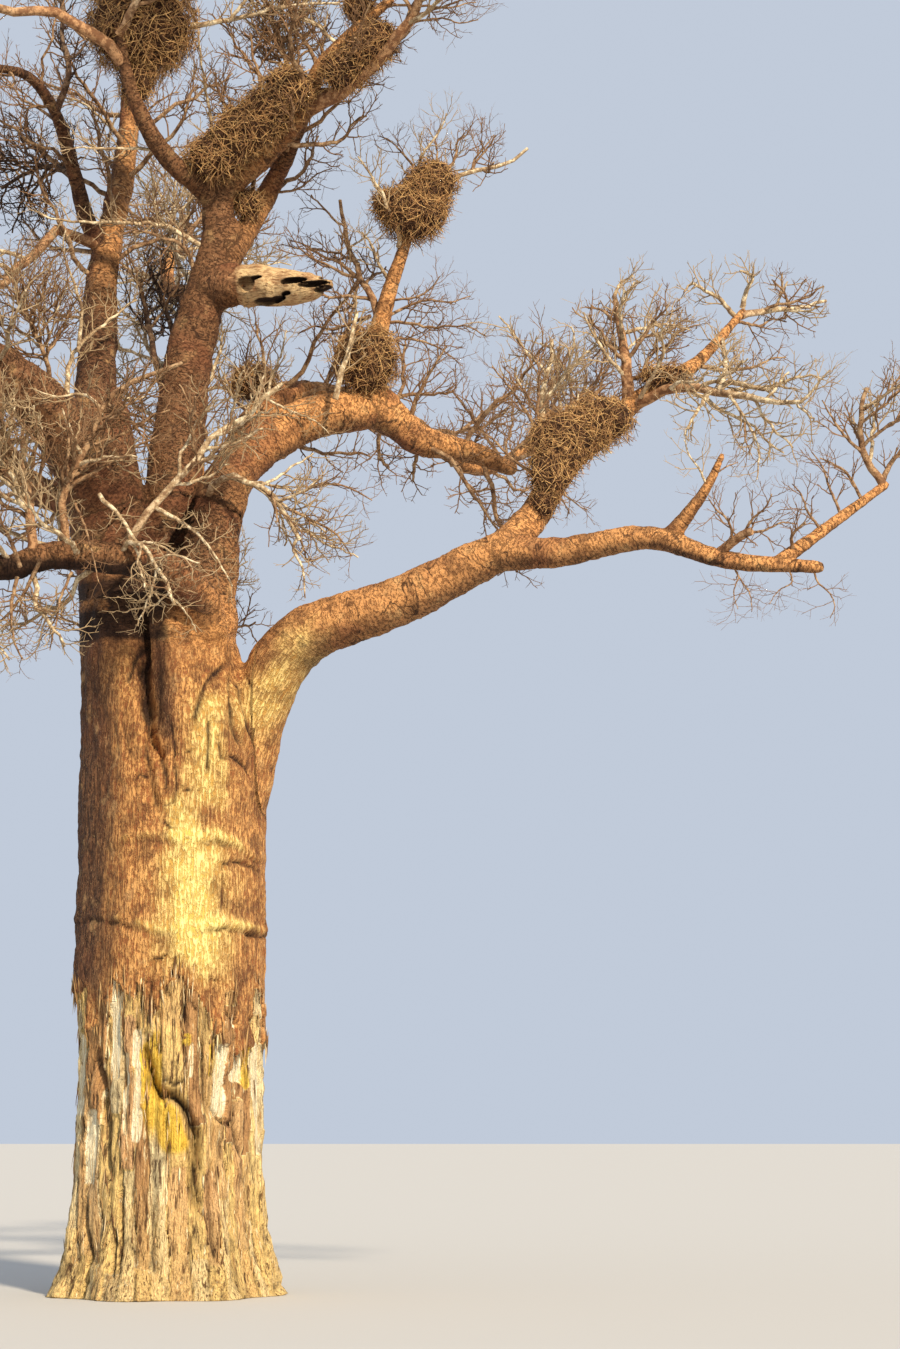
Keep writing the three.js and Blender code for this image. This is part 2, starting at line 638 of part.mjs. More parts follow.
// The starts of the side shoots of a path: where, which way, and how thick the path is there.
function shoots(path, radii, count, first, spread, seed) {
  const made = [];
  for (let index = 0; index < count; index++) {
    const share = first + ((1 - first) * (index + 0.5)) / count;
    const place = share * (path.length - 1);
    const step = Math.min(Math.floor(place), path.length - 2);
    const from = path[step];
    const to = path[step + 1];
    const along = to.clone().sub(from).normalize();
    const side = new THREE.Vector3(along.z, along.x, along.y).cross(along).normalize();
    side.applyAxisAngle(along, GOLDEN_TURN * index + 6.283 * chance(seed, 40));
    const angle = spread * (1 + SPREAD_VARIES * (2 * chance(seed, 50 + index) - 1));
    made.push({
      share,
      start: from.clone().lerp(to, place - step),
      heading: along.multiplyScalar(Math.cos(angle)).addScaledVector(side, Math.sin(angle)),
      radius: radii[0] + (radii[1] - radii[0]) * share,
      seed: Math.floor(chance(seed, 60 + index) * 2147483647),
    });
  }
  return made;
}

function stemSolid(spray, grow) {
  const radiusAt = (share) => spray.thick + (spray.thin - spray.thick) * share + grow;
  const path = stemPath(spray);
  return tube(path, radiusAt, STEM_SIDES, beyond(path, STEM_TIP + grow), grow);
}

// The shoots of a path that have room to grow to a share of their full length, with each one's way.
function shootsWithRoom(spray, path, radii, seed, { tries, first, spread, length }, share) {
  const size = (spray.reach[0] + spray.reach[1] + spray.reach[2]) / 3;
  const lengthOf = (shoot) => share * size * length
    * THREE.MathUtils.lerp(LENGTH_AT_ROOT, LENGTH_AT_TIP, shoot.share);
  const wayOf = (shoot) => twigPath(spray, shoot.seed, shoot.start, shoot.heading, lengthOf(shoot));
  return shoots(path, radii, tries, first, spread, seed)
    .filter((shoot) => !touchesNest(shoot.start))
    .map((shoot) => ({ ...shoot, way: wayOf(shoot) }))
    .filter((shoot) => shoot.way.length === TWIG_STEPS + 1);
}

// As many shoots of a path as a rule wants, spread evenly over those that fit, and at their full
// length wherever enough of them do.
function grownShoots(spray, path, radii, seed, rule) {
  const found = SHORTENED.map((share) => shootsWithRoom(spray, path, radii, seed, rule, share));
  const fitting = found.find((list) => list.length >= rule.wanted) ?? found.at(-1);
  const count = Math.min(rule.wanted, fitting.length);
  const pick = (index) => fitting[Math.floor(((index + 0.5) * fitting.length) / count)];
  return Array.from({ length: count }, (_, index) => pick(index));
}

// A whole spray: its stem, its branches and their twigs, joined into one solid.
function spraySolid(spray, seed) {
  const pieces = [stemSolid(spray, 0)];
  for (const branch of grownShoots(spray, stemPath(spray), [spray.thick, spray.thin], seed, BRANCHES)) {
    const [root, , elbow, tip] = branch.way;
    const thick = Math.min(branch.radius * BRANCH_SHARE, BRANCH_THICKEST);
    pieces.push(tube([root, elbow], (share) => thick * (1 - BRANCH_TAPER * share), TWIG_SIDES, tip));
    const drawn = [root, root.clone().lerp(elbow, 0.5), elbow, tip];
    for (const twig of grownShoots(spray, drawn, [thick, TWIG_TIP], branch.seed, TWIGS)) {
      pieces.push(spike(twig.way[0], twig.way.at(-1), twig.radius * TWIG_SHARE));
    }
  }
  return wasm.Manifold.union(pieces).asOriginal().simplify(SLIVER);
}

// An egg-shaped lump of packed sticks, with an uneven skin.
function lumpSolid(lump, seed, roughness, detail) {
  const ball = new THREE.IcosahedronGeometry(1, detail);
  const corners = new Map();
  const points = [];
  const triangles = [];
  const place = ball.attributes.position;
  for (let index = 0; index < place.count; index++) {
    const corner = new THREE.Vector3().fromBufferAttribute(place, index);
    const key = corner.toArray().map((value) => value.toFixed(4)).join(' ');
    if (!corners.has(key)) {
      corners.set(key, points.length);
      const swell = 1 + roughness * (chance(seed, points.length) - 0.5);
      points.push(corner.multiply(vector(lump.size)).multiplyScalar(swell).add(vector(lump.at)));
    }
    if (index % 3 === 2) {
      triangles.push([]);
    }
  }
  triangles.forEach((triangle, face) => {
    for (let corner = 0; corner < 3; corner++) {
      const point = new THREE.Vector3().fromBufferAttribute(place, face * 3 + corner);
      triangle.push(corners.get(point.toArray().map((value) => value.toFixed(4)).join(' ')));
    }
  });
  return solidFrom(points, triangles);
}

// A nest: its lumps, with sticks that stand out of them all round.
function nestSolid(nest, seed) {
  const pieces = nest.lumps.map((lump, index) => lumpSolid(lump, seed + index, NEST_ROUGHNESS, 1));
  for (let index = 0; index < nest.sticks; index++) {
    const lump = nest.lumps[index % nest.lumps.length];
    const height = 1 - (2 * (index + 0.5)) / nest.sticks;
    const turn = GOLDEN_TURN * index;
    const round = Math.sqrt(1 - height * height);
    const out = new THREE.Vector3(round * Math.cos(turn), round * Math.sin(turn), height);
    const root = vector(lump.size).multiply(out).multiplyScalar(NEST_STICK_ROOT).add(vector(lump.at));
    out.x += NEST_STICK_LEAN * (chance(seed, 200 + index) - 0.5);
    out.z += NEST_STICK_LEAN * (chance(seed, 230 + index) - 0.5);
    out.normalize();
    const end = root.clone().addScaledVector(out, lump.size[2] * NEST_STICK_LENGTH);
    pieces.push(spike(root, end, NEST_STICK));
  }
  return wasm.Manifold.union(pieces).asOriginal().simplify(NEST_SLIVER);
}

const barkFinish = new THREE.MeshStandardMaterial({ color: 0xa9683c, roughness: 0.85, metalness: 0 });
const deadWoodFinish = new THREE.MeshStandardMaterial({ color: 0xb59a72, roughness: 0.9, metalness: 0 });
const twigFinish = new THREE.MeshStandardMaterial({ color: 0xb7a081, roughness: 0.9, metalness: 0 });
const nestFinish = new THREE.MeshStandardMaterial({ color: 0x7a5835, roughness: 1, metalness: 0 });

function meshOf(name, solid, finish) {
  const { vertProperties, triVerts } = solid.getMesh();
  const geometry = new THREE.BufferGeometry();
  geometry.setAttribute('position', new THREE.BufferAttribute(vertProperties, 3));
  geometry.setIndex(new THREE.BufferAttribute(triVerts, 1));
  geometry.computeVertexNormals();
  const mesh = new THREE.Mesh(geometry, finish);
  mesh.name = name;
  return mesh;
}

const tree = new THREE.Group();
tree.name = 'baobab_tree';

// The wood already standing, a little larger than it is, cuts each new limb clear of it.
const standing = [trunkSolid(GAP)];
const trunk = trunkSolid(0).subtract(wasm.Manifold.union(CLEFTS.map(cleftSolid)));
tree.add(meshOf('trunk', trunk, barkFinish));
for (const [name, limb] of Object.entries(LIMBS)) {
  let solid = limbSolid(limb, 0);
  if (name === 'hollow_stub') {
    for (const hollow of STUB_HOLLOWS) {
      solid = solid.subtract(lumpSolid(hollow, 1, 0, 0));
    }
  }
  for (const wood of standing) {
    solid = solid.subtract(wood);
  }
  tree.add(meshOf(name, largest(solid), name === 'hollow_stub' ? deadWoodFinish : barkFinish));
  standing.push(limbSolid(limb, GAP));
}

const stems = [];
Object.entries(SPRAYS).forEach(([name, spray], index) => {
  const seed = 1000 + index;
  let solid = spraySolid(spray, seed);
  for (const wood of standing) {
    solid = solid.subtract(wood);
  }
  tree.add(meshOf(name, largest(solid), twigFinish));
  stems.push(stemSolid(spray, GAP + SLIVER));
});

Object.entries(NESTS).forEach(([name, nest], index) => {
  let solid = nestSolid(nest, 5000 + 10 * index);
  for (const wood of [...standing, ...stems]) {
    solid = solid.subtract(wood);
  }
  tree.add(meshOf(name, largest(solid), nestFinish));
});

export default tree;
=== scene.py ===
import math

import bmesh
import bpy
import numpy as np
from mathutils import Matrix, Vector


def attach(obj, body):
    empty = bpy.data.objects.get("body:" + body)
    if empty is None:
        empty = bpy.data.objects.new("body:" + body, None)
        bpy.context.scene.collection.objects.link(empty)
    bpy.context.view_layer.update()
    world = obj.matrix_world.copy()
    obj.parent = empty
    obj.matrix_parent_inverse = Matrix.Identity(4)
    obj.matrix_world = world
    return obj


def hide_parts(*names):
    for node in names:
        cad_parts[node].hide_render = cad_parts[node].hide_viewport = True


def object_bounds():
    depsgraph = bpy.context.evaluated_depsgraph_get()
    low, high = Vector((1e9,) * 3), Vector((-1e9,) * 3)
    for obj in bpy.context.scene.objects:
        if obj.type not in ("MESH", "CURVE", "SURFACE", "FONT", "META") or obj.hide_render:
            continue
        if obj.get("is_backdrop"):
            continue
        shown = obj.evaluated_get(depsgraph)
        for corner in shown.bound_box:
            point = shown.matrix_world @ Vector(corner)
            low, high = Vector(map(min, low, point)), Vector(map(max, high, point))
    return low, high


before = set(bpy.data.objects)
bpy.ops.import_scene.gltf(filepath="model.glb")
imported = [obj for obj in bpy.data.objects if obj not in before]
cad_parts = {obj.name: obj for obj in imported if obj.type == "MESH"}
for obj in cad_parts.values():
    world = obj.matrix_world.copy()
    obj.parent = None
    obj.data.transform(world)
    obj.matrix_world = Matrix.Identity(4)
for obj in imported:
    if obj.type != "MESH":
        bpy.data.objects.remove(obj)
cad_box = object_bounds()


# Trunk and limbs: one swollen trunk of soft, water-storing wood under thick smooth bark. Great stems
# part at its top and run on as long tapering boughs. All of it grew together, so the bark flows from
# one into the next. Round the foot it has been stripped off the wood.

TRUNK_WAIST = 1.4
FLARE = 0.27
FLARE_HEIGHT = 0.7
SHOULDER_START = 8.0
SHOULDER_END = 10.3
SHOULDER_RADIUS = 1.17
SHOULDER_SHIFT = -0.32
TRUNK_TOP = 10.75
BELOW_GROUND = 0.15
FOOT_FLUTES = 7
FLUTE_DEPTH = 0.07
FLUTES_ABOVE_FOOT = 0.25
STRIPPED_FLUTES = 0.35
STRIPPED_BELOW = 4.25
FLUTE_START_TURN = 0.6
FOLD_DEPTH = 0.17
FOLD_WIDTH = 0.24
FOLD_FOOT = 6.4
FOLD_FULL = 8.8
FOLD_TURN = -1.6
FOLD_SLANT = -0.16
COLLAR = 0.12
REAR_COLLAR = 0.4
COLLAR_LENGTH = 1.0
TOP_SHARE = 0.55
TOP_RISE = 0.3
STRIPPED_FADE = 0.2
TRUNK_SIDES = 160
TRUNK_RING_GAP = 0.08
LIMB_SIDES = 28
LIMB_LUMPS = 0.055
VOXEL = 0.038
WAY_SPACING = 0.06


def in_metres(given):
    """A table of centimetres in metres. Names in it stay as they are, and percentages become shares."""
    if isinstance(given, dict):
        return {name: in_metres(value) for name, value in given.items()}
    if isinstance(given, (list, tuple)):
        return type(given)(in_metres(value) for value in given)
    return given if isinstance(given, str) else given / 100


# Each limb, in centimetres: its radius where it leaves and at its tip, and its way.
LIMBS = in_metres({
    "left_stem": (69, 52, [(-60, -2, 960), (-84, -6, 1072), (-106, 0, 1169), (-125, 12, 1275),
      (-133, 20, 1330)]),
    "centre_stem": (50, 31, [(-32, 30, 990), (-19, 40, 1178), (-3, 43, 1340), (9, 40, 1453), (40, 28, 1560),
      (60, 20, 1640)]),
    "right_high_bough": (45, 31, [(45, -10, 1001), (50, 0, 1105), (65, 20, 1213), (106, 45, 1284),
      (182, 70, 1342), (311, 100, 1378)]),
    "right_low_bough": (55, 29, [(86, -6, 735), (99, -10, 795), (118, -15, 855), (143, -23, 908),
      (192, -40, 972), (345, -100, 1022), (505, -150, 1091)]),
    "right_low_riser": (25, 6.2, [(496, -150, 1085), (540, -135, 1137), (599, -100, 1235), (649, -75, 1284),
      (698, -35, 1342), (808, 50, 1433), (893, 120, 1541)]),
    "right_arm": (24.5, 9, [(488, -145, 1085), (582, -190, 1076), (710, -240, 1086), (815, -280, 1045),
      (944, -310, 1028)]),
    "right_arm_riser": (9.8, 6.4, [(892, -295, 1039), (934, -285, 1071), (1054, -240, 1165)]),
    "broken_spar": (12.5, 4.5, [(736, -245, 1082), (766, -270, 1118), (792, -285, 1154), (811, -295, 1194)]),
    "right_high_outer_bough": (30, 12.5, [(300, 98, 1378), (342, 115, 1349), (366, 120, 1329),
      (460, 150, 1314), (517, 170, 1294)]),
    "nest_spar": (21.5, 7, [(296, 95, 1384), (298, 90, 1460), (324, 75, 1563), (359, 50, 1663)]),
    "centre_right_limb": (25.5, 7.2, [(58, 20, 1616), (57, 10, 1699), (123, -10, 1756), (194, -50, 1821),
      (213, -65, 1873), (250, -85, 1911), (327, -110, 1973)]),
    "centre_left_limb": (20, 8, [(57, 20, 1619), (43, 5, 1689), (-10, -50, 1724), (-34, -80, 1746),
      (-70, -130, 1814), (-89, -160, 1902)]),
    "centre_prop_limb": (20.5, 11.2, [(70, 20, 1601), (103, 60, 1675), (124, 75, 1721), (154, 50, 1772),
      (191, -30, 1821)]),
    "hollow_stub": (32, 11, [(50, 25, 1554), (126, -20, 1539), (180, -50, 1526), (228, -80, 1521)]),
    "left_centre_limb": (33, 8.8, [(-133, 30, 1310), (-140, 55, 1408), (-141, 85, 1500), (-142, 120, 1611),
      (-130, 160, 1727), (-122, 190, 1804), (-120, 240, 1986), (-149, 280, 2165)]),
    "left_curving_limb": (13.5, 6.2, [(-144, 125, 1647), (-168, 115, 1691), (-185, 90, 1753),
      (-211, 20, 1841), (-243, -35, 1876), (-299, -120, 1860)]),
    "left_high_bough": (52, 11.5, [(-116, -10, 1198), (-149, -40, 1262), (-191, -75, 1316),
      (-281, -140, 1380), (-423, -220, 1456), (-560, -250, 1525), (-700, -230, 1640)]),
    "front_low_bough": (30, 9, [(56, -45, 960), (45, -115, 1020), (-2, -160, 1056), (-96, -180, 1072),
      (-170, -192, 1070), (-230, -220, 1046), (-340, -320, 1060), (-480, -470, 1170)]),
    "back_right_bough": (32, 9.2, [(30, 50, 1070), (63, 130, 1270), (135, 270, 1440), (245, 390, 1470),
      (345, 490, 1460), (470, 600, 1400), (580, 670, 1470)]),
    "back_bough": (40, 9.5, [(-35, 60, 1020), (-10, 170, 1290), (-35, 320, 1470), (-30, 470, 1670),
      (-90, 610, 1740), (-100, 720, 1850)]),
    "back_left_bough": (38, 9.5, [(-65, 60, 1000), (-150, 180, 1220), (-290, 310, 1300), (-400, 450, 1450),
      (-540, 530, 1490)]),
    "rear_low_bough": (40, 9.5, [(0, 80, 860), (5, 220, 1000), (-40, 370, 1030), (-30, 530, 1150),
      (-90, 660, 1170)]),
})
REAR_LIMB = "rear_low_bough"
DEAD_LIMB = "hollow_stub"
SLEEVE_STEPS = 8
SLEEVE_RADII = (0.42, 0.31)
SLEEVE_LUMPS = 0.07


def ease(value, start, end):
    """How far a value has passed from start to end, from 0 to 1, with a soft beginning and finish."""
    share = np.clip((value - start) / (end - start), 0, 1)
    return share * share * (3 - 2 * share)


def bell(value):
    """1 at 0, falling softly to nothing at about 2 on either side."""
    return np.exp(-(value**2))


def unit(vectors):
    """Vectors made one long."""
    return vectors / np.maximum(np.linalg.norm(vectors, axis=-1, keepdims=True), 1e-9)


def chance(seed, draw):
    """A number from 0 to 1, always the same for the same seed and draw."""
    seed = np.asarray(seed).astype(np.int64).astype(np.uint32)
    draw = np.asarray(draw + 1).astype(np.int64).astype(np.uint32)
    mixed = (seed ^ np.uint32(0x9E3779B9)) * np.uint32(0x85EBCA6B) + draw * np.uint32(0xC2B2AE35)
    mixed = (mixed ^ (mixed >> np.uint32(15))) * np.uint32(0x2C1B3C6D)
    mixed = (mixed ^ (mixed >> np.uint32(12))) * np.uint32(0x297A2D39)
    return (mixed ^ (mixed >> np.uint32(15))).astype(np.float64) / 2**32


CELL_PRIMES = (73856093, 19349663, 83492791)


def grain(points, scale, seed=0):
    """Smooth noise from -1 to 1. scale is how many bumps there are to the metre along x, y and z."""
    place = points * np.asarray(scale, float)
    cell = np.floor(place).astype(np.int64)
    inside = place - cell
    inside = inside * inside * (3 - 2 * inside)
    total = np.zeros(len(points))
    for corner in np.ndindex(2, 2, 2):
        at = (cell + corner) * CELL_PRIMES
        weight = np.where(corner, inside, 1 - inside).prod(axis=1)
        total += weight * chance(at[:, 0] ^ at[:, 1] ^ at[:, 2], seed)
    return 2 * total - 1


FINE_STEPS = 80


def smooth_way(points, steps=None):
    """Points on the smooth curve through a way's points, a spacing apart or else so many steps."""
    way = np.array(points, float)
    way = np.vstack([2 * way[0] - way[1], way, 2 * way[-1] - way[-2]])
    fine = []
    for before, start, end, after in zip(way, way[1:], way[2:], way[3:]):
        gap = [math.sqrt(math.dist(a, b)) for a, b in ((before, start), (start, end), (end, after))]
        leave = (start - before) / gap[0] - (end - before) / (gap[0] + gap[1]) + (end - start) / gap[1]
        arrive = (end - start) / gap[1] - (after - start) / (gap[1] + gap[2]) + (after - end) / gap[2]
        leave, arrive = leave * gap[1], arrive * gap[1]
        t = np.linspace(0, 1, FINE_STEPS, endpoint=False)[:, None]
        bend = t * t * (3 * (end - start) - 2 * leave - arrive)
        fine.append(start + leave * t + bend + t**3 * (2 * (start - end) + leave + arrive))
    fine = np.vstack([*fine, way[-2:-1]])
    along = np.concatenate([[0], np.cumsum(np.linalg.norm(np.diff(fine, axis=0), axis=1))])
    wanted = np.linspace(0, along[-1], (steps or max(1, round(along[-1] / WAY_SPACING))) + 1)
    return np.column_stack([np.interp(wanted, along, fine[:, axis]) for axis in range(3)])


def frames(path):
    """For each point of a path, its heading and two directions across, which turn no more than the path."""
    heading = unit(np.gradient(path, axis=0))
    across = np.empty_like(path)
    last = heading[0][[2, 0, 1]]
    for index, ahead in enumerate(heading):
        last = last - ahead * (last @ ahead)
        last = last / np.linalg.norm(last)
        across[index] = last
    return heading, across, np.cross(heading, across)


# How wide a tube's rounded end is at each of its rings.
DOME = np.array([0.97, 0.8, 0.45, 0.05])


def tube(path, radii, sides, seed=0, lumps=0):
    """The points and four-cornered faces of a closed tube with rounded ends and a lumpy skin."""
    heading, across, other = frames(path)
    far = np.sqrt(1 - DOME[:, None] ** 2)
    start = path[0] - heading[0] * radii[0] * far[::-1]
    end = path[-1] + heading[-1] * radii[-1] * far
    path = np.vstack([start, path, end])
    radii = np.concatenate([radii[0] * DOME[::-1], radii, radii[-1] * DOME])
    ends = len(DOME)
    across, other = (np.pad(way, ((ends, ends), (0, 0)), mode="edge") for way in (across, other))
    turn = np.linspace(0, 2 * math.pi, sides, endpoint=False)
    rim = across[:, None] * np.cos(turn)[:, None] + other[:, None] * np.sin(turn)[:, None]
    points = path[:, None] + rim * radii[:, None, None]
    if lumps:
        flat = points.reshape(-1, 3)
        swell = grain(flat, 2.1, seed) + 0.6 * grain(flat, 4.7, seed + 1)
        points += rim * (lumps * radii[:, None] * swell.reshape(radii.size, sides))[..., None]
    return points.reshape(-1, 3), ring_faces(len(path), sides)


def ring_faces(rings, sides):
    """The faces between rings of points, and over the first and last ring."""
    ring, side = np.meshgrid(np.arange(rings - 1), np.arange(sides), indexing="ij")
    a = (ring * sides + side).ravel()
    b = (ring * sides + (side + 1) % sides).ravel()
    skin = np.column_stack([a, b, b + sides, a + sides]).tolist()
    last = (rings - 1) * sides
    return [*skin, list(range(sides))[::-1], list(range(last, last + sides))]


def linked(name, data):
    """An object made of some data, linked to the scene."""
    made = bpy.data.objects.new(name, data)
    bpy.context.scene.collection.objects.link(made)
    return made


def new_object(name, points, faces):
    """A mesh object from points and faces."""
    mesh = bpy.data.meshes.new(name)
    mesh.from_pydata(np.asarray(points).tolist(), [], faces)
    return linked(name, mesh)


def finished(source, name):
    """The object with its modifiers made into a plain mesh under a name, in place of the source."""
    bpy.context.view_layer.update()
    mesh = bpy.data.meshes.new_from_object(source.evaluated_get(bpy.context.evaluated_depsgraph_get()))
    bpy.data.objects.remove(source)
    mesh.name = name
    return linked(name, mesh)


def melt_together(thing, voxel):
    """Makes an object's crossing skins one, by a modifier."""
    melting = thing.modifiers.new("one_skin", "REMESH")
    melting.mode = "VOXEL"
    melting.voxel_size = voxel


def joined(pieces):
    """The points and faces of several closed skins in one list."""
    points, faces, start = [], [], 0
    for some_points, some_faces in pieces:
        points.append(some_points)
        faces.extend([[corner + start for corner in face] for face in some_faces])
        start += len(some_points)
    return np.vstack(points), faces


def trunk_skin():
    """The trunk as a closed skin, from a little below the ground to its shoulder."""
    turn = np.linspace(-math.pi, math.pi, TRUNK_SIDES, endpoint=False)
    height = np.append(np.arange(-BELOW_GROUND, SHOULDER_END, TRUNK_RING_GAP), SHOULDER_END)
    z, around = np.meshgrid(height, turn, indexing="ij")
    shoulder = ease(z, SHOULDER_START, SHOULDER_END)
    flare = np.exp(-np.maximum(z, 0) / FLARE_HEIGHT)
    deeper = 1 - ease(z, STRIPPED_BELOW - STRIPPED_FADE, STRIPPED_BELOW + STRIPPED_FADE)
    flutes = FLUTE_DEPTH * (flare + FLUTES_ABOVE_FOOT + STRIPPED_FLUTES * deeper)
    flutes = flutes * np.cos(FOOT_FLUTES * around + FLUTE_START_TURN)
    fold_turn = FOLD_TURN + FOLD_SLANT * ease(z, FOLD_FOOT, SHOULDER_END)
    fold = bell((around - fold_turn) / FOLD_WIDTH) * ease(z, FOLD_FOOT, FOLD_FULL)
    radius = TRUNK_WAIST + FLARE * flare + (SHOULDER_RADIUS - TRUNK_WAIST) * shoulder
    radius += flutes * (1 - shoulder) - FOLD_DEPTH * fold
    x = SHOULDER_SHIFT * shoulder + radius * np.cos(around)
    points = np.stack([x, radius * np.sin(around), z], axis=-1)
    top = points[-1] * (TOP_SHARE, TOP_SHARE, 1) + ((1 - TOP_SHARE) * SHOULDER_SHIFT, 0, TOP_RISE)
    points = np.concatenate([points, top[None]])
    return points.reshape(-1, 3), ring_faces(len(points), len(turn))


def limb_radii(name, path):
    """A limb's radius at each point of its path, with the collar where it leaves."""
    thick, thin, way = LIMBS[name]
    collar = REAR_COLLAR if name == REAR_LIMB else COLLAR
    share = np.linspace(0, 1, len(path))
    span = math.dist(way[0], way[-1])
    return (thick + (thin - thick) * share) * (1 + collar * np.exp(-share * span / COLLAR_LENGTH))


limb_ways = {name: smooth_way(limb[2]) for name, limb in LIMBS.items()}
skins = [trunk_skin()]
for number, (name, way) in enumerate(limb_ways.items()):
    if name != DEAD_LIMB:
        skins.append(tube(way, limb_radii(name, way), LIMB_SIDES, seed=100 + number, lumps=LIMB_LUMPS))
sleeve_way = limb_ways[DEAD_LIMB][:SLEEVE_STEPS]
sleeve_radii = np.linspace(*SLEEVE_RADII, SLEEVE_STEPS)
skins.append(tube(sleeve_way, sleeve_radii, LIMB_SIDES, seed=99, lumps=SLEEVE_LUMPS))
wood = new_object("wood", *joined(skins))
melt_together(wood, VOXEL)
wood = finished(wood, "wood")


def cut_at_ground(thing):
    """The object cut flat at ground level and closed there."""
    mesh = bmesh.new()
    mesh.from_mesh(thing.data)
    cut = bmesh.ops.bisect_plane(
        mesh, geom=[*mesh.verts, *mesh.edges, *mesh.faces], plane_co=(0, 0, 0), plane_no=(0, 0, 1),
        clear_inner=True,
    )
    rim = [part for part in cut["geom_cut"] if isinstance(part, bmesh.types.BMEdge)]
    bmesh.ops.holes_fill(mesh, edges=rim)
    mesh.to_mesh(thing.data)
    mesh.free()


WHOLE_NUMBERS = ("loop_start", "vertex_index")


def read(collection, field, width=1):
    """One field of all of a mesh's vertices, faces, corners or values, as rows if it has a width."""
    values = np.empty(len(collection) * width, np.int32 if field in WHOLE_NUMBERS else np.float32)
    collection.foreach_get(field, values)
    if field in WHOLE_NUMBERS:
        return values
    return values.reshape(-1, width).squeeze().astype(float)


def store(mesh, name, values):
    """Keeps a number, or a vector, for each vertex under a name."""
    vector = np.ndim(values) == 2
    attribute = mesh.attributes.new(name, "FLOAT_VECTOR" if vector else "FLOAT", "POINT")
    attribute.data.foreach_set("vector" if vector else "value", np.ravel(values).astype(np.float32))


FAR = 1e3


def near_line(points, line, width):
    """How near points are to a line of straight steps: 1 on it, falling to 0 about two widths away."""
    line = np.array(line, float)
    nearest = np.full(len(points), FAR)
    for start, end in zip(line, line[1:]):
        away = end - start
        share = np.clip((points - start) @ away / (away @ away), 0, 1)[:, None]
        nearest = np.minimum(nearest, np.linalg.norm(points - start - share * away, axis=1))
    return bell(nearest / width)


def ring_height(turn, heights):
    """A height that changes round the trunk, from pairs of direction and height."""
    turns, values = np.array(heights).T
    turns = np.concatenate([turns - 2 * math.pi, turns, turns + 2 * math.pi])
    return np.interp(turn, turns, np.tile(values, 3))


TRUNK_STEPS = 108
TRUNK_WAY = np.linspace((0, 0, 0), (0, 0, 10.7), TRUNK_STEPS)
LIMB_REACH = 0.6
PATTERN_GAP = 31.7


def limb_frame(points):
    """For each point: which limb it is on, how far that is from a join, the radius there, and the
    point's place across and along the straightened limb."""
    ways = [TRUNK_WAY, *limb_ways.values()]
    radii = [np.full(TRUNK_STEPS, TRUNK_WAIST)]
    radii.extend(limb_radii(name, way) for name, way in limb_ways.items())
    best = np.full(len(points), FAR)
    second = best.copy()
    label = np.zeros(len(points), int)
    girth = best.copy()
    place = np.zeros((len(points), 3))
    for number, (way, radius) in enumerate(zip(ways, radii)):
        reach = radius.max() + LIMB_REACH
        inside = ((points > way.min(axis=0) - reach) & (points < way.max(axis=0) + reach)).all(axis=1)
        near = np.flatnonzero(inside)
        if len(near) == 0:
            continue
        some = points[near]
        square = (some**2).sum(axis=1)[:, None] + (way**2).sum(axis=1) - 2 * some @ way.T
        away = np.sqrt(np.maximum(square, 0)) - radius
        step = away.argmin(axis=1)
        gap = away[np.arange(len(near)), step]
        closer = gap < best[near]
        second[near] = np.where(closer, best[near], np.minimum(second[near], gap))
        won = near[closer]
        step = step[closer]
        best[won] = gap[closer]
        label[won] = number
        girth[won] = radius[step]
        heading, *sides = frames(way)
        out = points[won] - way[step]
        along = np.linspace(0, WAY_SPACING * len(way), len(way))[step] + (out * heading[step]).sum(axis=1)
        across = [(out * side[step]).sum(axis=1) for side in sides]
        place[won] = np.column_stack([*across, along + PATTERN_GAP * number])
    on_trunk = label == 0
    place[on_trunk] = points[on_trunk]
    return label, second - best, girth, place


# Scars that ring the trunk, and the torn upper edge of the bark where the foot was stripped, as
# directions round the trunk and heights.
LOW_RING = [(-2.9, 5.42), (-2.5, 5.44), (-2, 5.36), (-1.63, 5.19), (-1.32, 5.17), (-1.16, 5.22),
            (-0.83, 5.29), (-0.12, 5.23), (0.3, 5.25), (1.2, 5.22), (2.2, 5.3), (3, 5.38)]
HIGH_RING = [(-2.2, 6.44), (-1.98, 6.53), (-1.79, 6.55), (-1.4, 6.54), (-1, 6.56), (-0.4, 6.34)]
TORN_EDGE = [(-2.73, 4.21), (-2.34, 4.48), (-2.11, 4.76), (-1.83, 4.46), (-1.67, 4.1), (-1.47, 4.3),
             (-1.26, 4.5), (-0.99, 4.1), (-0.73, 3.97), (-0.27, 4.2), (0.4, 4), (1, 4.5), (1.5, 3.8),
             (2, 4.3), (2.5, 4.6), (3, 4.2)]
HIGH_RING_SHARE = 0.7
RING_DEPTH = 0.07
RING_WIDTH = 0.03
ROPE_ABOVE_RING = 0.09
ROPE_WIDTH = 0.075
ROPE_SWELL = 0.04
PLANK_WIDTH = 0.23
BARK_THICK = 0.045
SPLAY_BELOW = 1.9
SPLAY_BUTTS = 0.05
SPLAY_CREASES = 0.075

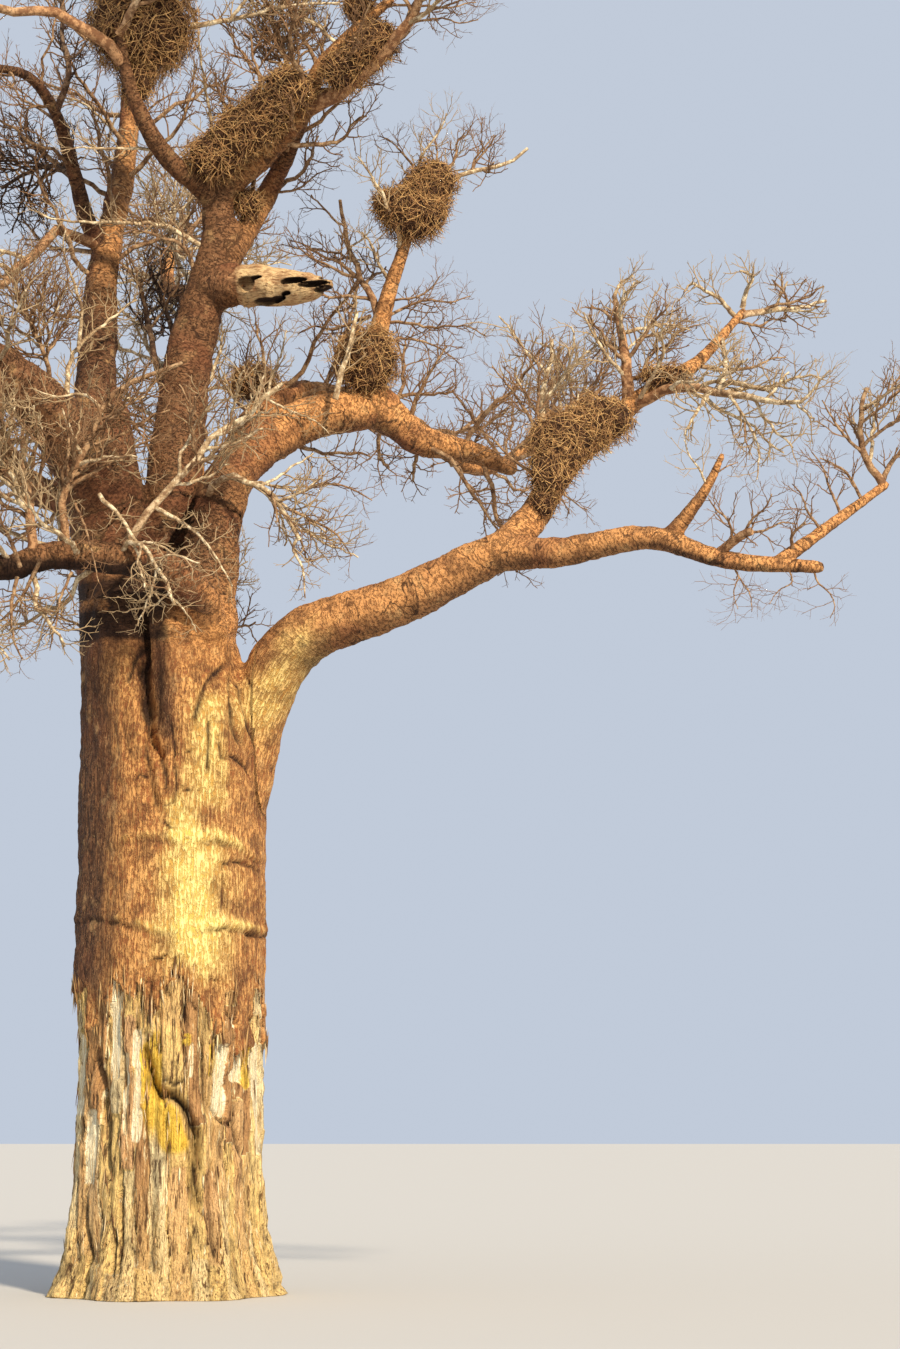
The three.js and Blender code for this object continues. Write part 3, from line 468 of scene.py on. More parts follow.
# Marks on the trunk's front, as lines across and up. Grooves are cut in and welts stand out. Grooves
# are listed by their depth and width, and each welt has its own swell and width.
GROOVES = {
    (0.28, 0.06): [[(-0.42, 10.1), (-0.38, 9.6), (-0.35, 9.06), (-0.29, 8.6), (-0.21, 8.13), (-0.08, 7.85)]],
    (0.03, 0.1): [[(-0.1, 9.4), (-0.06, 8.8), (-0.1, 8.2)]],
    (0.1, 0.045): [[(-0.08, 7.85), (-0.01, 7.63), (0, 7.3)]],
    (0.13, 0.06): [[(-0.29, 8.05), (-0.22, 7.63), (-0.15, 7.29), (-0.1, 7)]],
    (0.07, 0.04): [[(-0.4, 9.65), (-0.5, 9.25), (-0.6, 8.92)]],
    (0.05, 0.03): [[(-0.46, 7.45), (-0.38, 7.56), (-0.26, 7.5)], [(0.78, 8.05), (0.84, 7.82), (1, 7.83),
      (1.16, 7.7), (1.2, 7.6)]],
    (0.05, 0.035): [[(-0.62, 8.6), (-0.6, 8.2), (-0.52, 7.8)]],
    (0.04, 0.03): [[(0.06, 8.4), (0.13, 8), (0.13, 7.75)], [(0.14, 7.7), (0.15, 7.4), (0.14, 7.1)],
      [(1.12, 9.15), (1.3, 8.75), (1.42, 8.3)], [(0.66, 8.4), (0.62, 8), (0.64, 7.6)]],
    (0.06, 0.05): [[(0.86, 9.35), (0.66, 9.05), (0.52, 8.7), (0.44, 8.3)]],
    (0.05, 0.04): [[(0.92, 9.2), (0.9, 8.75), (0.98, 8.3), (1.08, 8)]],
    (0.045, 0.035): [[(1, 9.1), (1.08, 8.6), (1.22, 8.15), (1.34, 7.9)]],
    (0.035, 0.02): [[(0.12, 7.86), (0.25, 7.84), (0.38, 7.88)]],
    (0.03, 0.018): [[(0.14, 7.32), (0.3, 7.34), (0.5, 7.31)]],
    (0.03, 0.02): [[(0.02, 7.1), (0.12, 7.12)]],
    (0.035, 0.03): [[(0.03, 6.85), (0.1, 6.75)]],
    (0.025, 0.015): [[(0.15, 5.98), (0.42, 5.97)]],
    (0.06, 0.026): [[(0.84, 6.16), (0.9, 6.25), (1.1, 6.3), (1.32, 6.22)]],
    (0.05, 0.02): [[(0.86, 6.2), (0.87, 5.5)], [(0.69, 4.62), (0.7, 4.54)], [(0.75, 4.58), (0.84, 4.52)]],
    (0.17, 0.07): [[(-0.14, 3.5), (-0.1, 3.3), (-0.03, 3.05), (0.06, 2.86), (0.22, 2.9), (0.36, 2.7),
      (0.54, 2.3), (0.53, 1.95), (0.5, 1.55), (0.62, 1.15)]],
    (0.12, 0.035): [[(-0.14, 3.5), (-0.09, 3.3), (-0.02, 3.05), (0.06, 2.88), (0.29, 2.81), (0.42, 2.62),
      (0.53, 2.4), (0.56, 1.95), (0.56, 1.7), (0.66, 1.2)]],
    (0.15, 0.045): [[(-0.97, 3.5), (-0.86, 2.8), (-0.78, 1.7)]],
    (0.1, 0.035): [[(-1.32, 4.2), (-1.24, 3), (-1.19, 2.2)], [(-0.55, 1.55), (-0.54, 0.5)]],
    (0.08, 0.03): [[(0.95, 2.21), (1.02, 1.77)]],
    (0.07, 0.024): [[(-0.37, 3.88), (-0.26, 3.71)], [(-0.19, 3.79), (-0.15, 3.63)], [(-0.1, 3.75),
      (-0.04, 3.58), (0.04, 3.5)], [(0.31, 3.77), (0.34, 3.69)], [(0.81, 3.7), (0.88, 3.54)], [(0.36, 4.55),
      (0.37, 3.92)], [(0.08, 4.59), (0.06, 4.45), (0.12, 4.31)], [(-0.28, 4.49), (-0.26, 4.05)]],
    (0.09, 0.028): [[(1.25, 4.01), (1.36, 3.76)]],
    (0.06, 0.022): [[(-0.14, 4.81), (0.02, 4.86), (0.07, 4.9)], [(0.19, 4.89), (0.2, 4.68), (0.17, 4.62),
      (0.34, 4.54)], [(-0.3, 4.55), (-0.19, 4.5)], [(0.45, 4.23), (0.54, 4.11)], [(0.97, 4.08),
      (1.06, 3.96)]],
    (0.1, 0.03): [[(-0.6, 3.6), (-0.58, 3)], [(-1.12, 1.4), (-1.05, 0.7), (-1.02, 0.25)], [(0.78, 2.72),
      (0.92, 2.52), (1.08, 2.46), (1.2, 2)]],
    (0.09, 0.03): [[(-0.68, 1), (-0.66, 0.35)]],
    (0.09, 0.025): [[(-0.3, 1.3), (-0.27, 0.6)]],
    (0.11, 0.04): [[(-0.02, 1.3), (0, 0.8), (0.06, 0.35)]],
    (0.1, 0.04): [[(0.78, 1.9), (0.76, 1.3), (0.86, 0.5)]],
    (0.09, 0.035): [[(0.6, 3.75), (0.64, 3.2), (0.72, 2.6)]],
    (0.07, 0.035): [[(-0.1, 4.75), (-0.12, 4.3), (0.02, 3.95)]],
    (0.07, 0.03): [[(0.36, 4.35), (0.33, 3.8)]],
    (0.06, 0.03): [[(0.1, 3.1), (0.24, 3.02), (0.4, 3.1)]],
}
WELTS = [
    (0.09, 0.1, [(-0.5, 9.3), (-0.46, 8.7), (-0.4, 8.2), (-0.32, 7.9)]),
    (0.05, 0.09, [(-0.66, 8.9), (-0.64, 8.1), (-0.6, 7.5)]),
    (0.08, 0.14, [(0.02, 9.3), (0, 8.8), (0.02, 8.3)]),
    (0.07, 0.05, [(-0.38, 7.4), (-0.3, 7.42)]),
    (0.05, 0.06, [(-0.16, 7.55), (-0.08, 7.3)]),
    (0.05, 0.05, [(1, 8.9), (1.06, 8.35), (1.2, 8)]),
    (0.04, 0.05, [(0.84, 8.8), (0.8, 8.2)]),
    (0.14, 0.2, [(0.22, 3.75), (0.27, 3.25)]),
    (0.07, 0.14, [(0.3, 3.05), (0.42, 2.6)]),
    (0.06, 0.09, [(0.2, 4.5), (0.2, 4)]),
    (0.08, 0.12, [(0.66, 2.5), (0.7, 1.8)]),
    (0.07, 0.16, [(-0.02, 1.75), (0.14, 1.2), (0.2, 0.6)]),
]

# Smooth cream faces where the last wood was torn away: left, right, foot and top.
CREAM_FACES = [
    (-0.78, -0.64, 3.1, 4.75), (-0.39, -0.26, 2.2, 3.85), (0.8, 0.97, 2.55, 3.65), (1.04, 1.17, 3.05, 4),
    (1.33, 1.5, 2, 3.7), (-1.14, -0.96, 1.6, 2.7), (-0.56, -0.47, 2.3, 3.5), (0.44, 0.5, 3.1, 3.65),
    (-1.36, -1.22, 2.6, 3.8),
]


# Where the fixed draws of the planks, of their pieces and of the torn edge start.
PLANK_SEED = 400
PIECE_SEED = 9000
TEAR_SEED = 700


def planks(turn, height):
    """The torn planks of the stripped foot: each point's plank, its piece and how near its edge it is."""
    along = np.column_stack([turn * TRUNK_WAIST, turn * 0, height])
    warp = 0.13 * grain(along, (0.9, 1, 0.5), 31) + 0.035 * grain(along, (4, 1, 1.6), 32)
    place = (turn * TRUNK_WAIST + warp) / PLANK_WIDTH
    first = np.floor(place)
    gaps = []
    for step in (-1, 0, 1):
        middle = first + step + 0.5 + 0.85 * (chance(first + step + PLANK_SEED, 3) - 0.5)
        gaps.append(np.abs(place - middle))
    gaps = np.array(gaps)
    number = first + gaps.argmin(axis=0) - 1
    ordered = np.sort(gaps, axis=0)
    edge = (ordered[1] - ordered[0]) / 2 * PLANK_WIDTH
    length = 0.8 + 1.7 * chance(number + PLANK_SEED, 4)
    uneven = 0.06 * grain(along, (6, 1, 3), 33)
    piece = np.floor((height + uneven) / length + 5 * chance(number + PLANK_SEED, 5))
    return number, number * 17 + piece, edge


def ridged(points, scale, seed):
    """Noise with sharp creases: 0 in the creases and up to 1 between them."""
    return np.minimum(1, np.abs(grain(points, scale, seed)) * 2.2)


def cream_faces(face):
    """How far each point on the front lies on a smooth cream face."""
    found = np.zeros(len(face))
    for left, right, foot, top in CREAM_FACES:
        across = np.minimum(face[:, 0] - left, right - face[:, 0])
        up = np.minimum(face[:, 1] - foot, top - face[:, 1])
        found = np.maximum(found, ease(across, -0.012, 0.012) * ease(up, -0.06, 0.1))
    return found


def on_front(points):
    """How far round to the front points are."""
    return ease(-points[:, 1], 0, 0.4)


def ring_scars(points, turn, rough):
    """The scars that ring the trunk: their push, their creases, painted dark as partly dark bark and partly
    painted shade, and the swollen rope above each.
    """
    push, crease_and_shade, rope = np.zeros((3, len(points)))
    patchy = np.clip(0.5 + 0.9 * grain(points, (3.5, 3.5, 0.1), 16), 0, 1)
    uneven = 0.05 * grain(points, (2.5, 2.5, 2.5), 17) + 0.02 * rough
    swell = np.clip(0.55 + 1.1 * grain(points, (1.8, 1.8, 1.8), 23) + 0.6 * rough, 0.1, 1.3)
    high_share = HIGH_RING_SHARE * ease(np.cos(turn + 1.3), 0.2, 0.8)
    for heights, share in ((LOW_RING, 1), (HIGH_RING, high_share)):
        off = points[:, 2] - ring_height(turn, heights) - uneven
        line = share * patchy * bell(off / RING_WIDTH)
        welt = share * swell * bell((off - ROPE_ABOVE_RING) / ROPE_WIDTH)
        push += ROPE_SWELL * welt - RING_DEPTH * line
        rope = np.maximum(rope, welt)
        crease_and_shade = np.maximum(crease_and_shade, 0.9 * line)
    return push, crease_and_shade, rope


def scored_front(points, face):
    """The grooves and welts on the trunk's front: their push, and how dark the grooves are painted, partly as
    dark bark and partly as painted shade.
    """
    push, crease_and_shade = np.zeros((2, len(points)))
    front = on_front(points)
    ragged = np.clip(1.0 + 0.5 * grain(points, (7, 7, 3), 20), 0.7, 1.3)
    for (depth, width), lines in GROOVES.items():
        for line in lines:
            near = front * near_line(face, line, width)
            ends = np.min([np.linalg.norm(face - end, axis=1) for end in (line[0], line[-1])], axis=0)
            near *= 0.5 + 0.5 * ease(ends, 0, 0.1 * math.dist(line[0], line[-1]))
            push -= depth * near * (ragged if depth < 0.1 else 1)
            crease_and_shade = np.maximum(crease_and_shade, near**2 * ragged * min(1, 0.035 / width + 0.35))
    for swell, width, line in WELTS:
        push += swell * front * near_line(face, line, width)
    return push, crease_and_shade


def torn_foot(points, turn, face, rough):
    """The stripped foot: its marks by name, with its push alone under push."""
    height = points[:, 2]
    number, piece, edge = planks(turn, height)
    deep, tone, split = (chance(piece + PIECE_SEED, draw) for draw in (6, 8, 9))
    torn = ring_height(turn, TORN_EDGE) + 0.95 * (chance(number + TEAR_SEED, 7) - 0.62) + 0.07 * rough
    stripped = ease(torn - height, -0.015, 0.02)
    low = ease(SPLAY_BELOW - height, 0, 1.5)
    cream = on_front(points) * stripped * cream_faces(face)
    cut = bell(edge / 0.016) * (split > 0.3)
    ridges = ridged(points, (9, 9, 0.8), 13)
    fibres = 0.022 * ridges + 0.014 * ridged(points, (20, 20, 1.6), 18)
    lie = BARK_THICK + 0.06 * deep * (1 - 0.5 * low) + 0.05 * cut - fibres * (1 - cream)
    curled_edge = 0.03 * bell((height - torn - 0.05) / 0.12)
    push = curled_edge - stripped * np.where(cream > 0.5, BARK_THICK + 0.05, lie)
    butts = SPLAY_BUTTS * grain(points, (3.5, 3.5, 0.8), 14)
    butts += SPLAY_CREASES * ridged(points, (3.2, 3.2, 0.5), 19)
    push += low * (butts - 0.03)
    # The dark gaps between the planks and in the fibres' creases: partly dark wood and partly painted shade.
    crease_and_shade = stripped * (1 - cream) * np.maximum(0.8 * cut, (1 - ridges) ** 6 * 0.7)
    tear = (1 - stripped) * bell((height - torn) / 0.07)
    return {"push": push, "stripped": stripped, "crease_and_shade": crease_and_shade, "strip": tone, "low": low,
            "cream": cream, "tear": tear, "cut": cut}


def trunk_marks(points):
    """What happened to the trunk's bark, by name: how far each point is pushed, and its colours' shares."""
    turn = np.arctan2(points[:, 1], points[:, 0])
    rough = grain(points, (9, 9, 5), 11)
    face = points[:, [0, 2]] + np.column_stack([0.035 * grain(points, (5, 5, 3.5), 15), 0.03 * rough])
    foot = torn_foot(points, turn, face, rough)
    scar_push, scar_crease, rope = ring_scars(points, turn, rough)
    score_push, score_crease = scored_front(points, face)
    push = 0.02 * rough + 0.035 * grain(points, (2.2, 2.2, 1.1), 12)
    push += scar_push + score_push + foot["push"]
    ragged_wood = foot["stripped"] * (1 - foot["cream"])
    edges = ragged_wood * np.where(push > -0.16, np.maximum(0.03, 0.5 * foot.pop("cut")), 0)
    tear = (foot["tear"] + edges) * ease(points[:, 2], 0.35, 0.7)
    crease_and_shade = np.minimum(1, np.maximum.reduce([scar_crease, score_crease, foot["crease_and_shade"]]))
    return {**foot, "push": push, "crease_and_shade": crease_and_shade, "rope": rope, "tear": tear}


# Painted shadow under the low front bough: how dark it is, and a wedge inside it that is left lit.
PAINTED_SHADOW_DARKNESS = 0.94
LIT_WEDGE = [(-1.45, 10.24), (-1, 10.14)]


def painted_hollow_shadow(points):
    """Painted shadow in the hollow under the low front bough: how dark each point is painted, left out on a
    lit wedge.
    """
    x, y, z = points.T + 0.03 * grain(points, (5, 5, 3.5), 15)
    dark = ease(z, 9.58, 9.66) * (1 - ease(z, 10.55, 10.7)) * (1 - ease(x, -0.1, 0.08)) * ease(-y, -0.6, -0.1)
    lit = near_line(np.column_stack([x, z]), LIT_WEDGE, 0.1)
    return PAINTED_SHADOW_DARKNESS * dark * (1 - ease(lit, 0.2, 0.7))


# Patches of other colours on the trunk's front: each line's share of the colour, its width and the line.
FRONT_PATCHES = {
    # The gold patches are partly gold-coloured bark and partly painted sunlight on the trunk's lit side.
    "golden_and_sunlit": [(1, 0.48, [(0.42, 6.2), (0.48, 5)]), (0.62, 0.34, [(0.62, 8.5), (0.6, 7.2)]),
               (0.8, 0.26, [(0.25, 7.1), (0.35, 6.6)]), (0.55, 0.5, [(1.35, 8.6), (2, 9.5)])],
    "ochre": [(1, 0.15, [(-0.18, 3.55), (-0.14, 2.9)]), (1, 0.3, [(0, 2.65), (0.14, 2.3)]),
              (1, 0.06, [(0.4, 3.75), (0.41, 3.6)]), (1, 0.07, [(0.73, 3.6), (0.72, 3.15)]),
              (0.9, 0.07, [(1.24, 3.5), (1.22, 3.1)])],
    # The purplish patches are partly purplish bark and partly painted shade on the trunk's left side and
    # beside the fold.
    "plum_and_shade": [(0.75, 0.2, [(-0.1, 9.6), (0, 8.3)]), (0.6, 0.14, [(-0.4, 9.8), (-0.3, 8.4)]),
             (1, 0.55, [(-1.3, 9.8), (-1.3, 6.6)]), (1, 0.55, [(-1.35, 6.6), (-1.35, 4.8)])],
}
PATCHES_BELOW = 10.5
PATCH_DRIFT = (0.12, 0.2)
# Painted shade on some limbs that stand in shadow: how much darker their bark is painted than the rest.
PAINTED_LIMB_SHADES = {"left_curving_limb": 0.85, "left_centre_limb": 0.3, "centre_prop_limb": 0.25,
                "centre_stem": 0.2, "left_stem": 0.15, "front_low_bough": 0.3}
SHADED_LIMB = "left_centre_limb"
SHADED_LIMB_FOOT = 0.6
UNDERSIDE_SHADE = 0.5
FAR_SIDE_SHADE = 0.5


def painted_limb_shade(points, label, outward):
    """Painted shade on the limbs' bark: by limb, on undersides, and on the side that faces away from the sun.
    """
    names = ["trunk", *limb_ways]
    own = np.array([PAINTED_LIMB_SHADES.get(name, 0) for name in names])[label]
    own += SHADED_LIMB_FOOT * (label == names.index(SHADED_LIMB)) * ease(-points[:, 2], -15.8, -14.8)
    under = UNDERSIDE_SHADE * ease(-outward[:, 2], 0.1, 0.8)
    away = FAR_SIDE_SHADE * ease(-outward[:, 0], 0.1, 0.8)
    return np.where(label == 0, 0, np.clip(own + under + away, 0, 1))


def front_patch(points, name):
    """How much of a named colour a point on the trunk's front has."""
    drift = np.column_stack([grain(points, (7, 7, 1.2), 21), grain(points, (3, 3, 2), 22)])
    face = points[:, [0, 2]] + PATCH_DRIFT * drift
    found = [share * near_line(face, line, width) for share, width, line in FRONT_PATCHES[name]]
    return on_front(points) * np.max(found, axis=0)


GROUNDED_BELOW = 0.001
LEVEL_PUSH_BELOW = 0.2
FULL_RELIEF_RADIUS = 0.22
FORK_SHADE = 0.7

cut_at_ground(wood)
points = read(wood.data.vertices, "co", 3)
outward = read(wood.data.vertices, "normal", 3)
height = points[:, 2]
label, join_gap, girth, place = limb_frame(points)
on_trunk = label == 0
marks = {}
for name, values in trunk_marks(points[on_trunk]).items():
    marks[name] = np.zeros(len(points))
    marks[name][on_trunk] = values
# The painted shadow under the low front bough is laid in with the dark creases.
marks["crease_and_shade"] = np.maximum(marks["crease_and_shade"], painted_hollow_shadow(points))
push = marks.pop("push")
grounded = height < GROUNDED_BELOW
push[grounded] = 0
outward[height < LEVEL_PUSH_BELOW, 2] = 0
moved = points + outward * push[:, None]
moved[:, 2] = np.where(grounded, 0, np.maximum(moved[:, 2], 0))
wood.data.vertices.foreach_set("co", moved.astype(np.float32).ravel())

patches_here = height < PATCHES_BELOW
for name in FRONT_PATCHES:
    marks[name] = np.zeros(len(points))
    marks[name][patches_here] = front_patch(points[patches_here], name)
# Painted shade over the top of the trunk and the stems above it on the left and front, which stand in the
# shade of the crown, laid in with the purplish patches and the limbs' painted shade.
fork = ease(-points[:, 0], -1.8, -0.5) * ease(-points[:, 1], -1.5, -0.5) * ease(height, 9.5, 11)
shades = [marks["plum_and_shade"], FORK_SHADE * fork, painted_limb_shade(points, label, outward)]
marks["plum_and_shade"] = np.maximum.reduce(shades)
marks["place"] = place
marks["calm"] = ease(join_gap, 0.01, 0.2)
marks["fine"] = np.minimum(1, girth / FULL_RELIEF_RADIUS) * ease(height, 0, 0.15)
marks["part"] = label.astype(float)
for name, values in marks.items():
    store(wood.data, name, values)


class Wire:
    """A socket of a node tree. Sums on it add Math nodes, and node() adds any other node."""

    def __init__(self, tree, socket=None):
        self.tree = tree
        self.socket = socket

    def node(self, kind, values=None, output=0, **settings):
        made = self.tree.nodes.new(kind)
        for name, value in settings.items():
            setattr(made, name, value)
        for key, value in (values or {}).items():
            if isinstance(value, Wire):
                self.tree.links.new(value.socket, made.inputs[key])
            else:
                made.inputs[key].default_value = value
        return Wire(self.tree, made.outputs[output])

    def math(self, operation, *others):
        return self.node("ShaderNodeMath", dict(enumerate([self, *others])), operation=operation)

    def __add__(self, other):
        return self.math("ADD", other)

    def __sub__(self, other):
        return self.math("SUBTRACT", other)

    def __mul__(self, other):
        return self.math("MULTIPLY", other)

    def __pow__(self, other):
        return self.math("POWER", other)

    def __rsub__(self, other):
        return self.node("ShaderNodeMath", {0: other, 1: self}, operation="SUBTRACT")

    __radd__ = __add__
    __rmul__ = __mul__

    def between(self, low, high):
        """0 below low, 1 above high and a soft change between them."""
        kind = "ShaderNodeMapRange"
        return self.node(kind, {0: self, 1: low, 2: high, 3: 0, 4: 1.0}, interpolation_type="SMOOTHSTEP")

    def stretched(self, scale):
        return self.node("ShaderNodeVectorMath", {0: self, 1: scale}, operation="MULTIPLY")

    def noise(self, scale, detail=2, rough=0.5, twist=0):
        values = {"Vector": self, "Scale": scale, "Detail": detail, "Roughness": rough, "Distortion": twist}
        return self.node("ShaderNodeTexNoise", values)

    def tint(self, start, end):
        """The colour that goes from one colour to another as this value goes from 0 to 1."""
        return self.node("ShaderNodeMix", {0: self, 6: start, 7: end}, output=2, data_type="RGBA")


def geometry_tree(name, inputs):
    """A new geometry tree with named inputs, as a wire without a socket and its inputs as wires."""
    tree = bpy.data.node_groups.new(name, "GeometryNodeTree")
    tree.interface.new_socket("Geometry", in_out="INPUT", socket_type="NodeSocketGeometry")
    for label, kind in inputs.items():
        tree.interface.new_socket(label, in_out="INPUT", socket_type="NodeSocket" + kind)
    tree.interface.new_socket("Geometry", in_out="OUTPUT", socket_type="NodeSocketGeometry")
    given = tree.nodes.new("NodeGroupInput")
    return Wire(tree), {socket.name: Wire(tree, socket) for socket in given.outputs if socket.name}


def end_tree(geometry, finish, smooth=True):
    """Ends a geometry tree with a geometry that is coated and made real, and gives the tree back."""
    if smooth:
        values = {"Geometry": geometry, "Shade Smooth": True}
        geometry = geometry.node("GeometryNodeSetShadeSmooth", values)
    coated = geometry.node("GeometryNodeSetMaterial", {"Geometry": geometry, "Material": finish})
    whole = geometry.node("GeometryNodeRealizeInstances", {"Geometry": coated})
    result = geometry.tree.nodes.new("NodeGroupOutput")
    geometry.tree.links.new(whole.socket, result.inputs[0])
    return geometry.tree


def add_tree(thing, tree, values):
    """A geometry tree on an object, with its inputs set by their sockets' identifiers."""
    modifier = thing.modifiers.new(tree.name, "NODES")
    modifier.node_group = tree
    for item in tree.interface.items_tree:
        if item.in_out == "INPUT" and item.name in values:
            modifier[item.identifier] = values[item.name]


def named(wire, name, kind="FLOAT"):
    """A stored attribute of the geometry as a wire."""
    return wire.node("GeometryNodeInputNamedAttribute", {"Name": name}, data_type=kind)


def relief_tree():
    """Bark relief: folds across a limb, lumps and fine ridges along it, pushed out along the normal."""
    inputs = {"Folds": "Float", "Lumps": "Float", "Ridges": "Float", "Bark": "Material"}
    start, wires = geometry_tree("bark_relief", inputs)
    place = named(start, "place", "FLOAT_VECTOR")
    folds = place.stretched((1.3, 1.3, 6.5)).noise(1, 2, 0.5, 0.6) - 0.5
    lumps = place.stretched((1, 1, 0.6)).noise(5, 3, 0.55) - 0.5
    ridges = place.stretched((1, 1, 0.28)).noise(26, 3, 0.6) - 0.5
    size = named(start, "fine") * named(start, "calm").math("MULTIPLY_ADD", 0.8, 0.2)
    smooth_trunk = 1 - named(start, "on_trunk") * 0.75
    height = folds * wires["Folds"] * smooth_trunk + lumps * wires["Lumps"] + ridges * wires["Ridges"]
    normal = start.node("GeometryNodeInputNormal")
    offset = start.node("ShaderNodeVectorMath", {0: normal, "Scale": height * size}, operation="SCALE")
    moved = start.node("GeometryNodeSetPosition", {"Geometry": wires["Geometry"], "Offset": offset})
    return end_tree(moved, wires["Bark"])


def rgb(red, green, blue):
    return (red, green, blue, 1)


def start_of(name):
    """A new material and the start of its tree, as a wire without a socket."""
    made = bpy.data.materials.new(name)
    made.use_nodes = True
    return made, Wire(made.node_tree)


BARK_SHINE = 0.25


def finish_surface(made, color, rough, height, depth):
    """Joins a worked-out colour, roughness and fine relief to a material's shader."""
    tree = made.node_tree
    shader = tree.nodes["Principled BSDF"]
    shader.inputs["Specular IOR Level"].default_value = BARK_SHINE
    bump = height.node("ShaderNodeBump", {"Height": height, "Distance": depth, "Strength": 1.0})
    tree.links.new(color.socket, shader.inputs["Base Color"])
    tree.links.new(rough.socket, shader.inputs["Roughness"])
    tree.links.new(bump.socket, shader.inputs["Normal"])
    return made


def plain_finish(name, color, rough, shine=0.5):
    """A material of one colour."""
    made, start = start_of(name)
    shader = start.tree.nodes["Principled BSDF"]
    shader.inputs["Base Color"].default_value = rgb(*color)
    shader.inputs["Roughness"].default_value = rough
    shader.inputs["Specular IOR Level"].default_value = shine
    return made


def layered(color, *layers):
    """A colour with others laid over it, each given as where it shows and its red, green and blue."""
    for share, other in layers:
        color = share.tint(color, rgb(*other))
    return color


def stored(wire, name, output=2):
    """An attribute of the finished mesh: a number, or with output 1 a vector."""
    return wire.node("ShaderNodeAttribute", output=output, attribute_name=name)


def bark_body(start, place, patch, fleck):
    """Smooth bark finely scored with upright wrinkles: its colour and how deeply it is scored."""
    on_trunk = stored(start, "on_trunk")
    on_limb = 1 - on_trunk
    broad = place.noise(0.7, 3, 0.6)
    score = place.stretched((1, 1, 0.12)).noise(38, 3, 0.6, 0.3)
    wrinkle = place.stretched((1, 1, 0.5)).noise(24, 3, 0.65, 0.6)
    cracks = place.stretched((0.7, 0.7, 1.2)).noise(24, 4, 0.7, 0.6)
    seam = (place.stretched((0.5, 0.5, 1)).noise(2, 3, 0.5, 0.5) - 0.5).math("ABSOLUTE")
    seam = (1 - seam.between(0.003, 0.014)) * on_limb * patch.between(0.4, 0.5)
    # Gold bark with painted sunlight on the trunk's lit side, and a painted highlight on the swollen rope
    # above each ring scar.
    golden_and_sunlit = stored(start, "golden_and_sunlit") + stored(start, "rope") * 0.5 + patch * 0.5 + score * 0.5 - 0.5
    golden_and_sunlit = golden_and_sunlit.between(0, 1)
    # Purplish bark and painted shade darken both tones together.
    shaded = (stored(start, "plum_and_shade") * 1.2 + patch * 0.5 - 0.27).between(0, 1)
    light = on_trunk.tint(rgb(0.7, 0.335, 0.12), rgb(0.64, 0.32, 0.105))
    light = layered(light, (golden_and_sunlit, (0.94, 0.76, 0.28)), (shaded, (0.17, 0.08, 0.038)))
    dark = on_trunk.tint(rgb(0.41, 0.165, 0.057), rgb(0.29, 0.1, 0.032))
    dark = layered(dark, (golden_and_sunlit, (0.8, 0.5, 0.1)), (shaded, (0.04, 0.017, 0.009)))
    # The bark is darker where its scoring is deepest, which is also where the relief is lowest: partly darker
    # bark in the hollows and partly painted shade.
    scored = (on_trunk * (score * 0.5 + wrinkle * 0.5) + on_limb * (cracks + 0.05)).between(0.4, 0.57)
    plain = 1 - golden_and_sunlit
    body = layered(
        scored.tint(dark, light),
        (plain * broad.between(0.5, 0.7) * 0.35, (0.17, 0.055, 0.022)),
        (plain * (1 - patch.between(0.36, 0.5)) * 0.55, (0.085, 0.034, 0.016)),
        (patch.between(0.56, 0.7) * 0.35, (0.74, 0.46, 0.2)),
        (fleck.between(0.6, 0.72) * 0.5, (0.82, 0.56, 0.27)),
        (plain * (1 - fleck.between(0.3, 0.42)) * 0.85, (0.035, 0.013, 0.008)),
        (on_limb * broad.between(0.52, 0.62) * 0.4, (0.24, 0.085, 0.04)),
        (seam * 0.8, (0.05, 0.022, 0.011)),
    )
    return body, scored


def torn_wood(start, fibre, flake):
    """The colour of the torn wood at the foot: planks of several tones, flaked, ochre and cream."""
    strip = stored(start, "strip")
    wood = layered(
        strip.between(0.1, 0.4).tint(rgb(0.72, 0.43, 0.2), rgb(0.86, 0.6, 0.22)),
        (strip.between(0.5, 0.75), (0.96, 0.78, 0.43)),
        (strip.between(0.82, 0.9), (0.5, 0.27, 0.11)),
        (stored(start, "low") * 0.5, (0.76, 0.52, 0.2)),
        (flake.between(0.52, 0.6) * 0.5, (0.52, 0.28, 0.09)),
        (flake.between(0.6, 0.68) * 0.9, (1, 0.86, 0.52)),
        ((1 - flake.between(0.36, 0.43)) * 0.9, (0.1, 0.045, 0.018)),
        (fibre.between(0.53, 0.61) * 0.75, (0.17, 0.075, 0.028)),
    )
    ochre = (stored(start, "ochre") * 1.2 - flake * 0.6).between(0, 0.4) * 0.95
    yellow = fibre.between(0.4, 0.6).tint(rgb(0.92, 0.63, 0.09), rgb(0.7, 0.4, 0.035))
    cream = fibre.between(0.42, 0.64).tint(rgb(1, 0.92, 0.66), rgb(0.74, 0.52, 0.24))
    return stored(start, "cream").between(0.3, 0.7).tint(ochre.tint(wood, yellow), cream)


